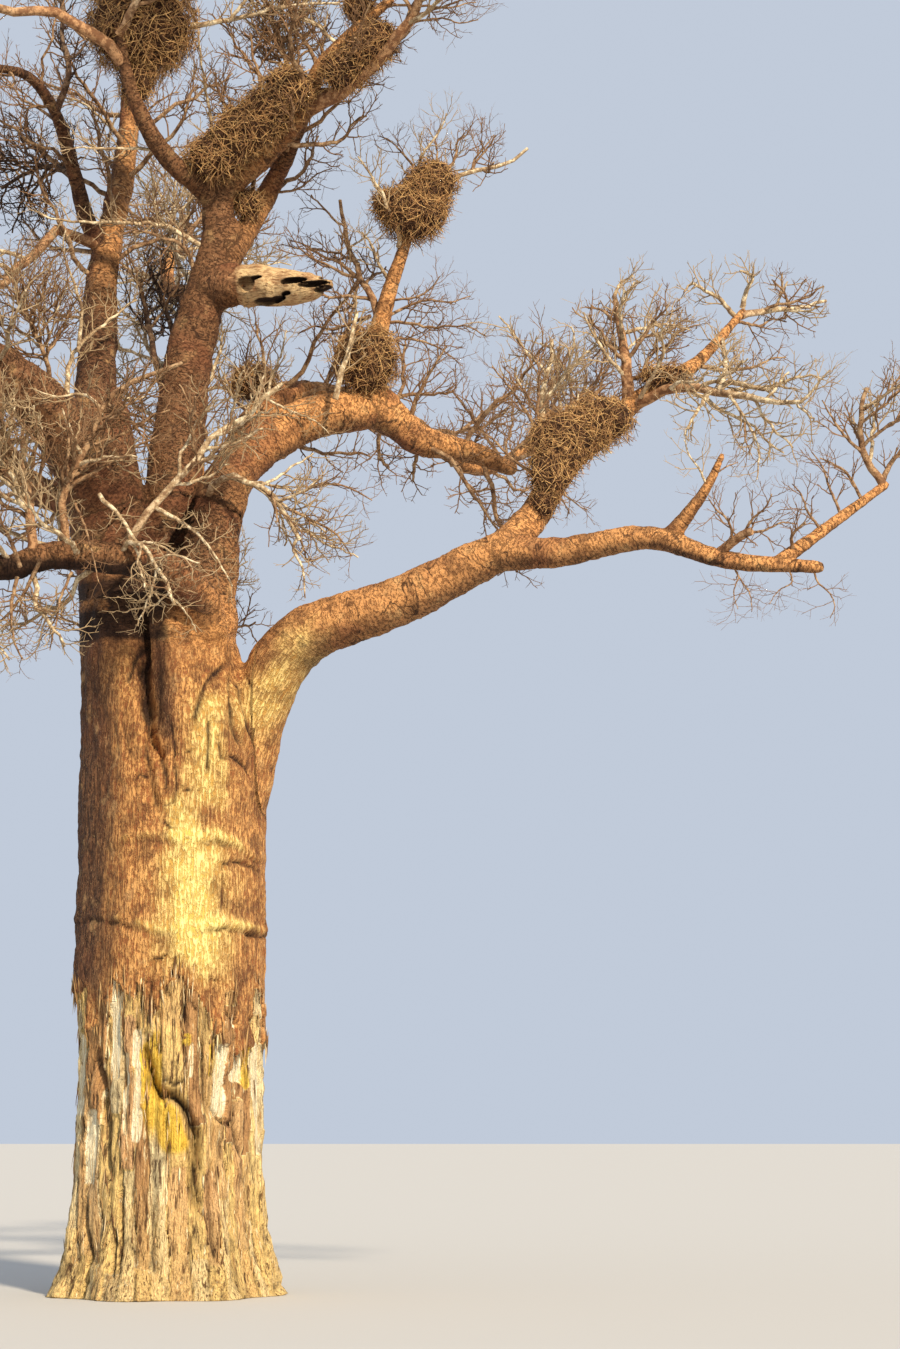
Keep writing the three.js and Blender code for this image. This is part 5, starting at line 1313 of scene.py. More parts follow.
# Single branches that stand out by themselves, as they were read off the photo: the kind of bark,
# then, in centimetres, the radii at the start and end and how far behind the trunk's middle both ends
# are, and then the way's points in the picture, across and down.
# Of these, the dark kind is painted shade, for branches that stand in shadow.
SINGLE_BRANCHES = [
    ("pale", 4.8, 1.8, 120, 90, [(742, 308), (747, 289), (753, 277), (740, 271)]),
    ("brown", 2.6, 1.2, 165, 120, [(789, 308), (784, 292), (772, 280)]),
    ("pale", 4.4, 1.6, 105, 40, [(734, 315), (719, 298), (707, 292), (692, 283), (684, 292)]),
    ("brown", 3, 1.2, 110, 190, [(738, 322), (761, 326), (772, 319), (786, 322)]),
    ("brown", 4, 1.2, 55, 120, [(701, 366), (724, 370), (761, 365), (770, 359), (786, 357)]),
    ("pale", 2.8, 1, -230, -260, [(801, 402), (810, 394), (822, 379), (830, 370)]),
    ("pale", 5, 1.2, -140, -190, [(719, 390), (725, 382), (743, 384), (768, 389), (784, 382), (808, 375),
      (824, 380)]),
    ("pale", 4.4, 3.4, -140, 90, [(719, 392), (725, 375), (725, 350), (722, 338)]),
    ("pale", 2.8, 0.9, -160, -200, [(730, 396), (745, 419), (759, 449), (757, 480)]),
    ("brown", 1.6, 0.7, -175, -220, [(745, 422), (745, 438), (753, 459)]),
    ("pale", 3.2, 1.2, 20, 30, [(614, 296), (621, 283), (634, 276)]),
    ("pale", 2.6, 1, -20, 20, [(625, 352), (634, 344), (646, 329), (652, 316)]),
    ("pale", 2.6, 1, 10, 70, [(640, 338), (654, 335), (676, 327), (690, 330)]),
    ("pale", 3.8, 1.2, -30, -90, [(627, 378), (612, 362), (600, 345), (590, 328), (584, 312)]),
    ("brown", 3.6, 1.2, 10, 100, [(650, 386), (660, 362), (668, 345), (682, 330), (700, 325)]),
    ("pale", 3.6, 1.2, -60, -160, [(640, 398), (655, 372), (664, 352), (660, 330), (668, 312)]),
    ("brown", 3.4, 1, -40, -90, [(541, 440), (528, 415), (515, 395), (503, 380), (492, 366)]),
    ("brown", 3.4, 0.9, -120, -160, [(548, 478), (528, 470), (508, 455), (494, 440), (478, 430)]),
    ("pale", 3.4, 1, -10, 80, [(545, 400), (562, 380), (578, 362), (590, 350), (602, 334)]),
    ("brown", 3, 1, -40, 90, [(560, 420), (575, 400), (590, 388), (604, 372)]),
    ("brown", 7.8, 6, -275, -320, [(718, 554), (744, 534), (752, 531)]),
    ("brown", 2.4, 0.9, -310, -350, [(744, 534), (752, 520), (765, 508), (772, 494)]),
    ("brown", 2.4, 0.9, -300, -330, [(733, 540), (728, 521), (715, 508), (708, 498)]),
    ("brown", 2.2, 0.9, -310, -300, [(748, 533), (766, 530), (782, 522), (796, 524)]),
    ("pale", 2, 0.8, -285, -330, [(706, 485), (700, 470), (690, 456), (684, 440)]),
    ("brown", 1.6, 0.7, -285, -270, [(712, 476), (724, 468), (738, 462)]),
    ("brown", 4.6, 1.4, -240, -190, [(881, 484), (889, 466), (900, 451), (915, 440), (930, 425)]),
    ("brown", 2.8, 1, -270, -240, [(863, 410), (874, 402), (889, 392), (900, 376), (912, 362)]),
    ("brown", 2.8, 1, -255, -290, [(861, 452), (843, 434), (829, 413), (822, 400)]),
    ("brown", 2.8, 0.9, -255, -290, [(862, 500), (846, 472), (833, 464), (820, 458)]),
    ("brown", 2.6, 0.9, -265, -250, [(842, 515), (829, 488), (822, 466), (812, 452)]),
    ("brown", 2.4, 0.8, -280, -320, [(821, 530), (806, 509), (802, 495), (792, 484)]),
    ("brown", 3.2, 1.5, -295, -330, [(794, 552), (792, 536), (805, 523)]),
    ("brown", 1.6, 0.6, -310, -330, [(814, 572), (818, 582), (830, 593), (835, 606), (830, 618)]),
    ("brown", 1.4, 0.5, -300, -340, [(789, 570), (792, 582), (778, 591), (770, 604)]),
    ("brown", 1.6, 0.6, -280, -310, [(733, 565), (739, 577), (751, 596), (752, 612)]),
    ("brown", 1.2, 0.5, -290, -330, [(739, 577), (734, 592), (738, 609)]),
    ("brown", 4.6, 1.4, 110, 50, [(409, 425), (416, 400), (427, 378), (437, 362), (447, 346)]),
    ("brown", 3, 0.9, 85, 20, [(385, 322), (405, 322), (430, 328), (465, 325), (486, 336)]),
    ("brown", 3, 0.9, 85, 160, [(385, 318), (404, 308), (425, 300), (448, 302), (470, 296)]),
    ("brown", 2.8, 0.8, 90, 190, [(380, 345), (398, 338), (420, 340), (446, 352), (462, 366)]),
    ("brown", 3.4, 1.1, 160, 110, [(505, 466), (493, 446), (470, 415), (452, 390)]),
    ("brown", 2.6, 0.9, 150, 190, [(470, 453), (480, 432), (498, 415), (512, 404)]),
    ("pale", 4.2, 1.4, 50, -30, [(398, 247), (399, 229), (388, 209), (383, 196), (373, 178), (358, 156)]),
    ("pale", 3.4, 1, 50, 40, [(410, 200), (416, 171), (424, 153), (433, 140), (441, 128), (446, 113)]),
    ("brown", 2.2, 0.8, 90, 80, [(472, 170), (474, 160), (484, 148), (494, 135)]),
    ("brown", 2.6, 0.8, 90, 120, [(446, 172), (456, 155), (457, 141), (466, 136), (473, 123)]),
    ("brown", 2.2, 0.8, 50, 10, [(414, 166), (399, 150), (389, 140), (378, 136)]),
    ("brown", 2.6, 0.8, 70, 160, [(425, 185), (436, 165), (436, 146), (428, 128)]),
    ("brown", 2.2, 0.8, 75, 50, [(391, 300), (416, 297), (432, 288), (440, 276)]),
    ("pale", 3.4, 1.2, 75, 40, [(389, 280), (378, 262), (372, 246), (362, 232)]),
    ("pale", 2.2, 0.8, 115, 80, [(351, 262), (350, 248), (363, 239), (372, 226)]),
    ("brown", 3.4, 1, 110, 140, [(356, 276), (338, 262), (322, 256), (304, 244), (290, 240)]),
    ("brown", 3.4, 1, 100, 50, [(372, 300), (350, 296), (328, 298), (306, 290), (288, 296)]),
    ("brown", 3.4, 1, 90, 150, [(371, 316), (352, 322), (333, 330), (315, 326), (298, 334)]),
    ("pale", 2.4, 0.8, 25, 20, [(262, 397), (289, 410), (316, 421), (329, 434)]),
    ("pale", 3, 1, 60, 50, [(268, 400), (271, 376), (280, 359), (287, 330)]),
    ("brown", 3, 1, 50, 90, [(262, 410), (252, 386), (246, 362), (250, 336)]),
    ("brown", 3, 1, 80, 110, [(330, 402), (328, 378), (336, 356), (330, 334)]),
    ("pale", 2.8, 1, -70, -50, [(298, 535), (293, 550), (302, 567), (305, 598)]),
    ("brown", 3, 0.9, -80, -20, [(277, 503), (300, 492), (325, 484), (350, 488), (372, 500)]),
    ("brown", 2.8, 0.9, -75, -10, [(289, 509), (312, 520), (336, 534), (352, 556)]),
    ("dark", 6.2, 2.4, 90, 150, [(186, 372), (180, 356), (172, 330), (164, 303), (150, 270)]),
    ("brown", 4.6, 1.6, 30, -40, [(206, 290), (195, 271), (188, 254), (180, 243), (164, 238), (140, 231),
      (118, 236)]),
    ("pale", 4.6, 1.4, 20, -80, [(207, 248), (179, 233), (160, 223), (137, 223), (102, 222), (64, 220),
      (40, 214)]),
    ("brown", 2.4, 0.8, 60, 90, [(278, 192), (297, 189), (318, 173), (332, 168)]),
    ("pale", 3.8, 1.2, 10, -30, [(219, 205), (211, 170), (211, 118), (203, 80), (200, 50), (196, 20)]),
    ("pale", 4.6, 1.6, -100, -70, [(190, 26), (230, 20), (270, 10), (297, 5), (340, 3)]),
    ("pale", 3.4, 1.2, -100, -140, [(230, 20), (244, 2), (262, -20), (270, -42)]),
    ("dark", 6.2, 2.2, 20, 50, [(56, 112), (67, 83), (70, 64), (64, 53), (62, 24), (62, 0), (58, -28)]),
    ("dark", 2.8, 1, 30, 80, [(66, 58), (75, 57), (89, 37), (100, 20)]),
    ("pale", 3, 0.9, -70, -120, [(158, 150), (128, 148), (102, 149), (83, 147), (60, 152)]),
    ("pale", 3.4, 1, 220, 160, [(124, 140), (90, 108), (72, 99), (50, 96)]),
    ("brown", 2.6, 0.9, -180, -160, [(411, 17), (434, 9), (459, 1), (480, -8)]),
    ("brown", 2.2, 0.8, -170, -200, [(405, 25), (425, 20), (445, 18), (459, 23), (478, 20)]),
    ("pale", 3.4, 1, -85, -50, [(340, 46), (330, 38), (318, 25), (274, 10), (250, 2)]),
    ("brown", 3.4, 1, -95, -130, [(350, 86), (352, 60), (362, 38), (366, 12), (376, -10)]),
    ("pale", 4.8, 1.4, -50, 20, [(67, 400), (69, 360), (79, 346), (108, 320), (137, 300)]),
    ("pale", 3.6, 1, -40, -90, [(79, 346), (81, 303), (70, 272), (63, 248), (66, 230)]),
    ("pale", 3, 0.9, -200, -240, [(101, 408), (87, 396), (74, 394), (60, 397), (46, 394), (30, 388)]),
    ("pale", 3.6, 1, -190, -140, [(60, 560), (60, 493), (71, 471), (86, 450), (96, 430), (106, 403)]),
    ("pale", 3.4, 1, -200, -230, [(156, 508), (179, 521), (196, 533), (216, 557), (232, 586)]),
    ("brown", 2.4, 0.8, -210, -260, [(75, 503), (86, 530), (93, 554), (99, 582)]),
    ("pale", 3.6, 1, -205, -230, [(99, 494), (119, 516), (131, 533), (149, 557), (166, 579), (172, 599)]),
    ("brown", 2.6, 0.8, -195, -220, [(72, 572), (60, 599), (56, 622), (50, 650)]),
    ("brown", 3.2, 1.2, -240, -250, [(17, 577), (12, 599), (13, 639), (23, 659)]),
    ("brown", 3.6, 1.2, -260, -320, [(20, 567), (10, 540), (-5, 515), (-22, 500)]),
    ("brown", 3.4, 1, -230, -180, [(40, 560), (20, 600), (0, 622), (-24, 640)]),
    ("brown", 3.8, 1.2, -110, -170, [(20, 400), (5, 430), (-12, 452), (-30, 480)]),
    ("brown", 3.6, 1, 85, 150, [(98, 330), (82, 318), (60, 316), (38, 306), (20, 310)]),
    ("brown", 3.6, 1.1, 210, 260, [(124, 150), (140, 120), (160, 100), (178, 92)]),
]
# One more rises from the right high bough, and is given in centimetres as the limbs are.
BOUGH_SPUR = in_metres((5, 2.6, [(240, 15, 1366), (249, 10, 1405), (261, 15, 1444), (266, 25, 1475),
  (273, 35, 1514)]))
KINDS = ("pale", "brown", "dark")

# The nests' lumps of sticks, each with its centre and half sizes in centimetres.
NESTS = in_metres({
    "top_nest": [((-60, -100, 1934), (87, 85, 87))],
    "limb_nest_left": [((50, -42, 1741), (50, 40, 38)), ((107, -56, 1785), (54, 42, 42)), ((167, -76, 1836),
      (47, 40, 42))],
    "limb_nest_right": [((257, -100, 1859), (40, 34, 36)), ((307, -130, 1895), (37, 33, 37))],
    "spar_nest": [((391, 50, 1735), (43, 40, 38)), ((363, 45, 1680), (57, 48, 48)), ((321, 45, 1695),
      (29, 28, 27))],
    "spar_foot_nest": [((288, 75, 1444), (53, 49, 62))],
    "right_crown_nest": [((570, -150, 1206), (35, 31, 42)), ((588, -128, 1260), (56, 44, 45)),
      ((650, -98, 1302), (52, 43, 39))],
})

GOLDEN_TURN = 2.399963
LENGTH_AT_ROOT = 1.15
LENGTH_AT_TIP = 0.85
SPREAD_VARIES = 0.25
WANDER = 0.62
LIFT = 0.07
TURN_IN = 1.0
TURN_IN_START = 0.76
SPACE_MARGIN = 0.05
TRUNK_REACH = 1.5
CLEARANCE = 0.07
NEST_CLEARANCE = -0.05
STEM_SAG = 0.06
STEM_PAST_CENTRE = 0.3
STEM_STEPS = 5
KINK = 0.22
STEM_KINK = 0.16
NO_SPACE = -1
SHORTENED = (0.75, 0.5)
LEAST_LENGTH = 0.6
LENGTH_VARIES = 0.7
TAPER = 0.6
ROAM = 0.2
POINTS_AT_ONCE = 20000


spray_kinds, crowding, stem_radii, centres, reaches, spray_ways = zip(*SPRAYS.values())
stem_radii, centres, reaches = np.array(stem_radii), np.array(centres), np.array(reaches)


def stem_way(centre, way):
    """The smooth way of the stem of a spray with a centre, from its own way or the limb that bears it."""
    if isinstance(way, list):
        return smooth_way(way, steps=STEM_STEPS)
    limb, share = way
    path = limb_ways[limb]
    start = path[round(share * (len(path) - 1))]
    away = centre - start
    bend = start + away / 2 - (0, 0, STEM_SAG * np.linalg.norm(away))
    return smooth_way([start, bend, centre, centre + away * STEM_PAST_CENTRE], steps=STEM_STEPS)


stem_ways = [stem_way(centre, way) for centre, way in zip(centres, spray_ways)]
wood_ways = [*limb_ways.values(), *stem_ways]
wood_radii = [limb_radii(name, way) for name, way in limb_ways.items()]
wood_radii.extend(np.full(STEM_STEPS + 1, thick) for thick, _ in stem_radii)
wood_homes = [NO_SPACE] * len(limb_ways) + list(range(len(SPRAYS)))
wood_points = np.vstack([way[::2] for way in wood_ways])
wood_sizes = np.concatenate([radius[::2] for radius in wood_radii])
wood_owner = np.repeat(wood_homes, [len(way[::2]) for way in wood_ways])
nest_lumps = [lump for lumps in NESTS.values() for lump in lumps]
low_corner, high_corner = np.array(cad_box[0]) - ROAM, np.array(cad_box[1]) + ROAM


def depth_in(points, centre, reach):
    """How deep points lie in a space: 0 at its centre and 1 on its skin."""
    return np.linalg.norm((points - centre) / reach, axis=-1)


def touches_wood(points, home):
    """Whether each point is too near a limb, another spray's stem, the trunk or a nest."""
    on_trunk = np.hypot(points[:, 0], points[:, 1]) < TRUNK_REACH + CLEARANCE
    hit = on_trunk & (points[:, 2] < TRUNK_TOP)
    for lump, size in nest_lumps:
        hit |= depth_in(points, lump, np.array(size) + NEST_CLEARANCE) < 1
    for first in range(0, len(points), POINTS_AT_ONCE):
        some = slice(first, first + POINTS_AT_ONCE)
        square = (points[some] ** 2).sum(axis=1)[:, None] + (wood_points**2).sum(axis=1)
        away = np.sqrt(np.maximum(square - 2 * points[some] @ wood_points.T, 0))
        near = away < wood_sizes + CLEARANCE
        hit[some] |= (near & (wood_owner != home[some, None])).any(axis=1)
    return hit


def is_free(points, home, wood_too=True):
    """Whether each point is in its own spray's space, nearer its centre than any other's, and clear."""
    free = ((points > low_corner) & (points < high_corner)).all(axis=1)
    housed = home != NO_SPACE
    uneven = 1.03 + 0.42 * grain(points[housed], (0.75, 0.75, 0.75), 55)
    own = depth_in(points[housed], centres[home[housed]], reaches[home[housed]]) * uneven
    inside = own <= 1
    if wood_too:
        others = depth_in(points[housed, None], centres, reaches)
        others[np.arange(len(own)), home[housed]] = np.inf
        inside &= others.min(axis=1) > own + SPACE_MARGIN
    free[housed] &= inside
    if wood_too:
        free &= ~touches_wood(points, home)
    return free


def twig_ways(start, heading, length, seed, home, steps, lift, wood_too):
    """Ways that wander, lift and turn in where their space ends, and whether each had room."""
    ways = np.empty((len(start), steps + 1, 3))
    ways[:, 0] = start
    going = heading.copy()
    room = np.ones(len(start), bool)
    middle_of = np.where(home[:, None] == NO_SPACE, start, centres[home])
    size = reaches[home]
    for step in range(steps):
        last = ways[:, step]
        inward = unit(middle_of - last)
        edge = np.maximum(0, depth_in(last, middle_of, size) - TURN_IN_START)
        edge[home == NO_SPACE] = 0
        going += WANDER * (chance(seed[:, None], 3 * step + np.arange(3)) - 0.5)
        going[:, 2] += lift
        going = unit(going + TURN_IN * edge[:, None] * inward)
        ways[:, step + 1] = last + going * (length / steps)[:, None]
        room &= is_free(ways[:, step + 1], home, wood_too)
    return ways, room


def gnarled(ways, seed, amount=KINK, draw=100):
    """Ways with a kink added halfway along each step."""
    offset = ways[:, 1:] - ways[:, :-1]
    length = np.linalg.norm(offset, axis=2, keepdims=True)
    draws = draw + np.arange(offset[0].size).reshape(offset[0].shape)
    kinks = (chance(seed[:, None, None], draws) - 0.5) * length * amount
    result = np.empty((len(ways), 2 * offset.shape[1] + 1, 3))
    result[:, 0::2] = ways
    result[:, 1::2] = ways[:, :-1] + offset / 2 + kinks
    return result


MOST_SEED = 2147483647
A_TURN = 6.283


def shoots(parents, counts, first, spread):
    """Where the side shoots of some branches start, which way they head and how thick it is there."""
    owner = np.repeat(np.arange(len(counts)), counts)
    index = np.arange(len(owner)) - np.repeat(np.cumsum(counts) - counts, counts)
    share = first + (1 - first) * (index + 0.5) / counts[owner]
    steps = parents["way"].shape[1] - 1
    place = share * steps
    step = np.minimum(place.astype(int), steps - 1)
    begin = parents["way"][owner, step]
    onward = parents["way"][owner, step + 1] - begin
    along = unit(onward)
    seed = parents["seed"][owner]
    side = unit(np.cross(along[:, [2, 0, 1]], along))
    turn = (GOLDEN_TURN * index + A_TURN * chance(seed, 40))[:, None]
    side = side * np.cos(turn) + np.cross(along, side) * np.sin(turn)
    angle = (spread * (1 + SPREAD_VARIES * (2 * chance(seed, 50 + index) - 1)))[:, None]
    thick, thin = parents["thick"][owner], parents["thin"][owner]
    return {
        "share": share,
        "way": begin + onward * (place - step)[:, None],
        "heading": along * np.cos(angle) + side * np.sin(angle),
        "radius": thick + (thin - thick) * share,
        "seed": np.floor(chance(seed, 60 + index) * MOST_SEED).astype(np.int64),
        "home": parents["home"][owner],
        "kind": parents["kind"][owner],
    }


def grown(parents, gap, first, spread, length, steps, radii, lift=LIFT, kinks=1, wood_too=True,
          size=None):
    """The next branches: those shoots that have room, as ways. One starts at each gap along a parent, or
    else gap is how many each bears. Their radii: the share of the parent's, the most and the tip's."""
    counts = counts_by(parents, gap) if np.ndim(gap) == 0 else gap
    found = shoots(parents, counts, first, spread)
    size = 1 if size is None else size[found["home"]]
    size = size * (LEAST_LENGTH + LENGTH_VARIES * chance(found["seed"], 80))
    reach = size * length * (LENGTH_AT_ROOT + (LENGTH_AT_TIP - LENGTH_AT_ROOT) * found["share"])
    ways, room = twig_ways(found["way"], found["heading"], reach, found["seed"], found["home"], steps,
                           lift, wood_too)
    for share in SHORTENED:
        left = np.flatnonzero(~room)
        again = twig_ways(found["way"][left], found["heading"][left], share * reach[left],
                          found["seed"][left], found["home"][left], steps, lift, wood_too)
        ways[left], room[left] = again
    kept = chosen(found, room)
    kept["way"] = ways[room]
    for kink in range(kinks):
        kept["way"] = gnarled(kept["way"], kept["seed"], draw=100 + 40 * kink)
    share, most, tip = radii
    kept["thick"] = np.minimum(kept["radius"] * share, most)
    kept["thin"] = np.minimum(kept["thick"] * TAPER, tip)
    return kept


def chosen(group, mask):
    """The branches of a group that a mask or a slice picks."""
    return {key: value[mask] for key, value in group.items()}


def merged(*groups):
    """Groups of branches whose ways have the same number of points, as one."""
    keys = ("way", "thick", "thin", "seed", "home", "kind")
    return {key: np.concatenate([group[key] for group in groups]) for key in keys}


def counts_by(group, gap):
    """One shoot for each gap along each branch."""
    length = np.linalg.norm(np.diff(group["way"], axis=1), axis=2).sum(axis=1)
    return np.maximum(1, np.round(length / gap)).astype(int)


def branch_group(ways, radii, seed, kinds, home=None):
    """A group of branches from their ways, radii at both ends, first seed, kinds of bark and spaces."""
    return {
        "way": np.array(ways),
        "thick": np.array(radii)[:, 0],
        "thin": np.array(radii)[:, 1],
        "seed": seed + np.arange(len(ways)),
        "home": np.full(len(ways), NO_SPACE) if home is None else home,
        "kind": np.array([KINDS.index(kind) for kind in kinds]),
    }


stems = branch_group(stem_ways, stem_radii, 1000, spray_kinds, np.arange(len(SPRAYS)))
kinds, *sizes, sights = zip(*SINGLE_BRANCHES)
thick, thin, near, far = in_metres(sizes)
ways = [smooth_way(seen_way(*sight), steps=8) for sight in zip(sights, near, far)]
ways.append(smooth_way(BOUGH_SPUR[2], steps=8))
radii = [*zip(thick, thin), BOUGH_SPUR[:2]]
singles = branch_group(ways, radii, 40000, [*kinds, "pale"])

# Side branches that rise along the limbs which nothing else clothes.
CLOTHED_LIMBS = {
    "left_centre_limb": "brown", "left_curving_limb": "brown", "left_high_bough": "pale",
    "front_low_bough": "pale", "back_right_bough": "brown", "back_bough": "pale",
    "back_left_bough": "brown", "rear_low_bough": "brown", "centre_right_limb": "brown",
    "centre_prop_limb": "brown", "right_high_outer_bough": "brown",
}
bearers = branch_group(
    [smooth_way(LIMBS[name][2], steps=24) for name in CLOTHED_LIMBS],
    [LIMBS[name][:2] for name in CLOTHED_LIMBS], 50000, CLOTHED_LIMBS.values(),
)
SIDE_GAP = 0.5
SIDE_STEPS = 3
SIDE_LIFT = 0.18
SIDE_START = 0.3
SIDE_ROOT_DEPTH = 0.6
SIDE_CLEARANCE = 0.15
SHORTEST_SIDE = 0.9
SIDE_LENGTH_VARIES = 1.3
SIDE_SHARE = 0.3
SIDE_THICK = 0.045
SIDE_TAPER = 0.35


def limb_sides(bearers):
    """Side branches of the limbs, which start clear of the limb's own skin."""
    found = shoots(bearers, counts_by(bearers, SIDE_GAP), SIDE_START, 1)
    start = found["way"] + found["heading"] * found["radius"][:, None] * SIDE_ROOT_DEPTH
    stand = found["radius"] + CLEARANCE + SIDE_CLEARANCE
    clear = found["way"] + found["heading"] * stand[:, None]
    length = SHORTEST_SIDE + SIDE_LENGTH_VARIES * chance(found["seed"], 70)
    ways, room = twig_ways(clear, found["heading"], length, found["seed"], found["home"], SIDE_STEPS,
                           SIDE_LIFT, True)
    ways[:, 0] = start
    kept = chosen(found, room)
    kept["way"] = gnarled(gnarled(ways[room], kept["seed"]), kept["seed"], draw=140)
    kept["thick"] = np.minimum(kept["radius"] * SIDE_SHARE, SIDE_THICK)
    kept["thin"] = kept["thick"] * SIDE_TAPER
    return kept


# Some branches of a spray have another bark than the rest: pale ones brown and the others pale or brown.
STRAY_SHARE = 0.3
STRAY_KIND = np.array([1, 0, 1])

space_size = reaches.mean(axis=1)
stem_shoots = np.array([STEM_SHOOTS[word] for word in crowding])
branches = grown(stems, stem_shoots, first=0.22, spread=1, length=1.4, steps=3,
                 radii=(0.62, 0.04, 0.014), kinks=2, size=space_size)
strays = chance(branches["seed"], 90) < STRAY_SHARE
branches["kind"] = np.where(strays, STRAY_KIND[branches["kind"]], branches["kind"])
side_branches = limb_sides(bearers)
for group in (stems, singles):
    group["way"] = gnarled(group["way"], group["seed"], STEM_KINK, 200)
second = merged(
    grown(branches, 0.2, first=0.18, spread=0.85, length=0.55, steps=3, radii=(0.75, 0.018, 0.009),
          lift=0.12, size=space_size),
    grown(singles, 0.13, first=0.15, spread=0.9, length=0.42, steps=3, radii=(0.6, 0.016, 0.008),
          lift=0.12),
    grown(side_branches, 0.2, first=0.18, spread=0.85, length=0.55, steps=3, radii=(0.7, 0.017, 0.009),
          lift=0.12),
)
FINE_TWIGS = {"kinks": 0, "wood_too": False}
third = grown(second, 0.13, first=0.2, spread=0.85, length=0.26, steps=2, radii=(0.75, 0.0098, 0.0062),
              lift=0.2, **FINE_TWIGS)
fourth = grown(third, 0.17, first=0.3, spread=0.8, length=0.13, steps=1, radii=(0.8, 0.0075, 0.005),
               lift=0.3, **FINE_TWIGS)


def wood_tree():
    """Round wood along each way, as thick as its stored girth, with closed ends."""
    start, wires = geometry_tree("round_wood", {"Sides": "Int", "Finish": "Material"})
    ways = start.node("GeometryNodeMeshToCurve", {"Mesh": wires["Geometry"]})
    rim = start.node("GeometryNodeCurvePrimitiveCircle", {"Resolution": wires["Sides"], "Radius": 1.0})
    values = {"Curve": ways, "Profile Curve": rim, "Scale": named(start, "girth"), "Fill Caps": True}
    return end_tree(start.node("GeometryNodeCurveToMesh", values), wires["Finish"])


round_wood = wood_tree()


def wooden(name, groups, finish):
    """One piece of round wood from groups of ways, each with its number of sides."""
    parts = []
    for number, (group, sides) in enumerate(groups):
        ways = group["way"]
        count, length = ways.shape[:2]
        share = np.linspace(0, 1, length)
        girth = group["thick"][:, None] * (1 - share) + group["thin"][:, None] * share
        mesh = bpy.data.meshes.new(name)
        mesh.vertices.add(count * length)
        mesh.vertices.foreach_set("co", ways.astype(np.float32).ravel())
        first = (np.arange(count)[:, None] * length + np.arange(length - 1)).ravel()
        mesh.edges.add(len(first))
        mesh.edges.foreach_set("vertices", np.column_stack([first, first + 1]).ravel())
        store(mesh, "girth", girth.ravel())
        thing = linked(f"{name}_{number}", mesh)
        add_tree(thing, round_wood, {"Sides": sides, "Finish": finish})
        parts.append(finished(thing, f"{name}_{number}"))
    if len(parts) > 1:
        with bpy.context.temp_override(active_object=parts[0], selected_editable_objects=parts):
            bpy.ops.object.join()
    parts[0].name = name
    return parts[0]


# What the young bark, its lichen and its cracks are coloured, by kind. The dark kind is painted shade, for
# branches that stand in shadow.
BRANCH_COLORS = {
    "pale": ((0.42, 0.3, 0.17), (0.8, 0.67, 0.45), (0.16, 0.09, 0.05)),
    "brown": ((0.25, 0.14, 0.07), (0.44, 0.29, 0.16), (0.07, 0.034, 0.018)),
    "dark": ((0.06, 0.034, 0.022), (0.2, 0.13, 0.08), (0.018, 0.01, 0.007)),
}
TRIANGLES_A_PIECE = 190000
FEWEST_TO_ADD = 50


def shared_out(groups):
    """Groups of twigs shared out among pieces that each stay under the limit of triangles."""
    pieces, room = [[]], TRIANGLES_A_PIECE
    for group, sides in groups:
        cost = 2 * sides * (group["way"].shape[1] - 1) + 2 * (sides - 2)
        start = 0
        while start < len(group["way"]):
            count = min(len(group["way"]) - start, room // cost)
            pieces[-1].append((chosen(group, slice(start, start + count)), sides))
            start += count
            room -= count * cost
            if room < cost * FEWEST_TO_ADD:
                pieces.append([])
                room = TRIANGLES_A_PIECE
    return [piece for piece in pieces if piece]


def branch_finish(kind):
    """Young bark mottled by lichen and by cracks."""
    young, lichen, cracked = BRANCH_COLORS[kind]
    made, start = start_of(f"{kind}_branch_bark")
    place = start.node("ShaderNodeTexCoord", output=3)
    mottle = place.noise(9, 4, 0.65)
    crack = place.noise(34, 3, 0.6)
    color = mottle.between(0.47, 0.6).tint(rgb(*young), rgb(*lichen))
    color = layered(color, ((1 - mottle.between(0.36, 0.44)) * 0.8, cracked))
    old = mottle.between(0.42, 0.58).tint(rgb(0.22, 0.1, 0.045), rgb(0.52, 0.29, 0.14))
    color = stored(start, "girth").between(0.04, 0.08).tint(color, old)
    color = layered(color, (crack.between(0.55, 0.65) * 0.7, cracked))
    return finish_surface(made, color, crack * 0.1 + 0.8, crack, 0.01)


BRANCH_GROUPS = ((stems, 8), (singles, 7), (branches, 5), (side_branches, 6))
TWIG_GROUPS = ((second, 3), (third, 3), (fourth, 3))


def of_kind(groups, number):
    """The branches of a kind in each group that has any."""
    found = [(chosen(group, group["kind"] == number), sides) for group, sides in groups]
    return [(group, sides) for group, sides in found if len(group["way"])]


for number, kind in enumerate(KINDS):
    finish = plain_finish(f"{kind}_twig_bark", BRANCH_COLORS[kind][0], 0.85, shine=BARK_SHINE)
    branch_piece = wooden(f"{kind}_branches", of_kind(BRANCH_GROUPS, number), branch_finish(kind))
    stood_for = [name for name, its in zip(SPRAYS, spray_kinds) if its == kind]
    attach(branch_piece, "root")
    if stood_for:
        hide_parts(*stood_for)
    for index, held in enumerate(shared_out(of_kind(TWIG_GROUPS, number)), start=1):
        piece = wooden(f"{kind}_twigs_{index}", held, finish)
        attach(piece, "root")


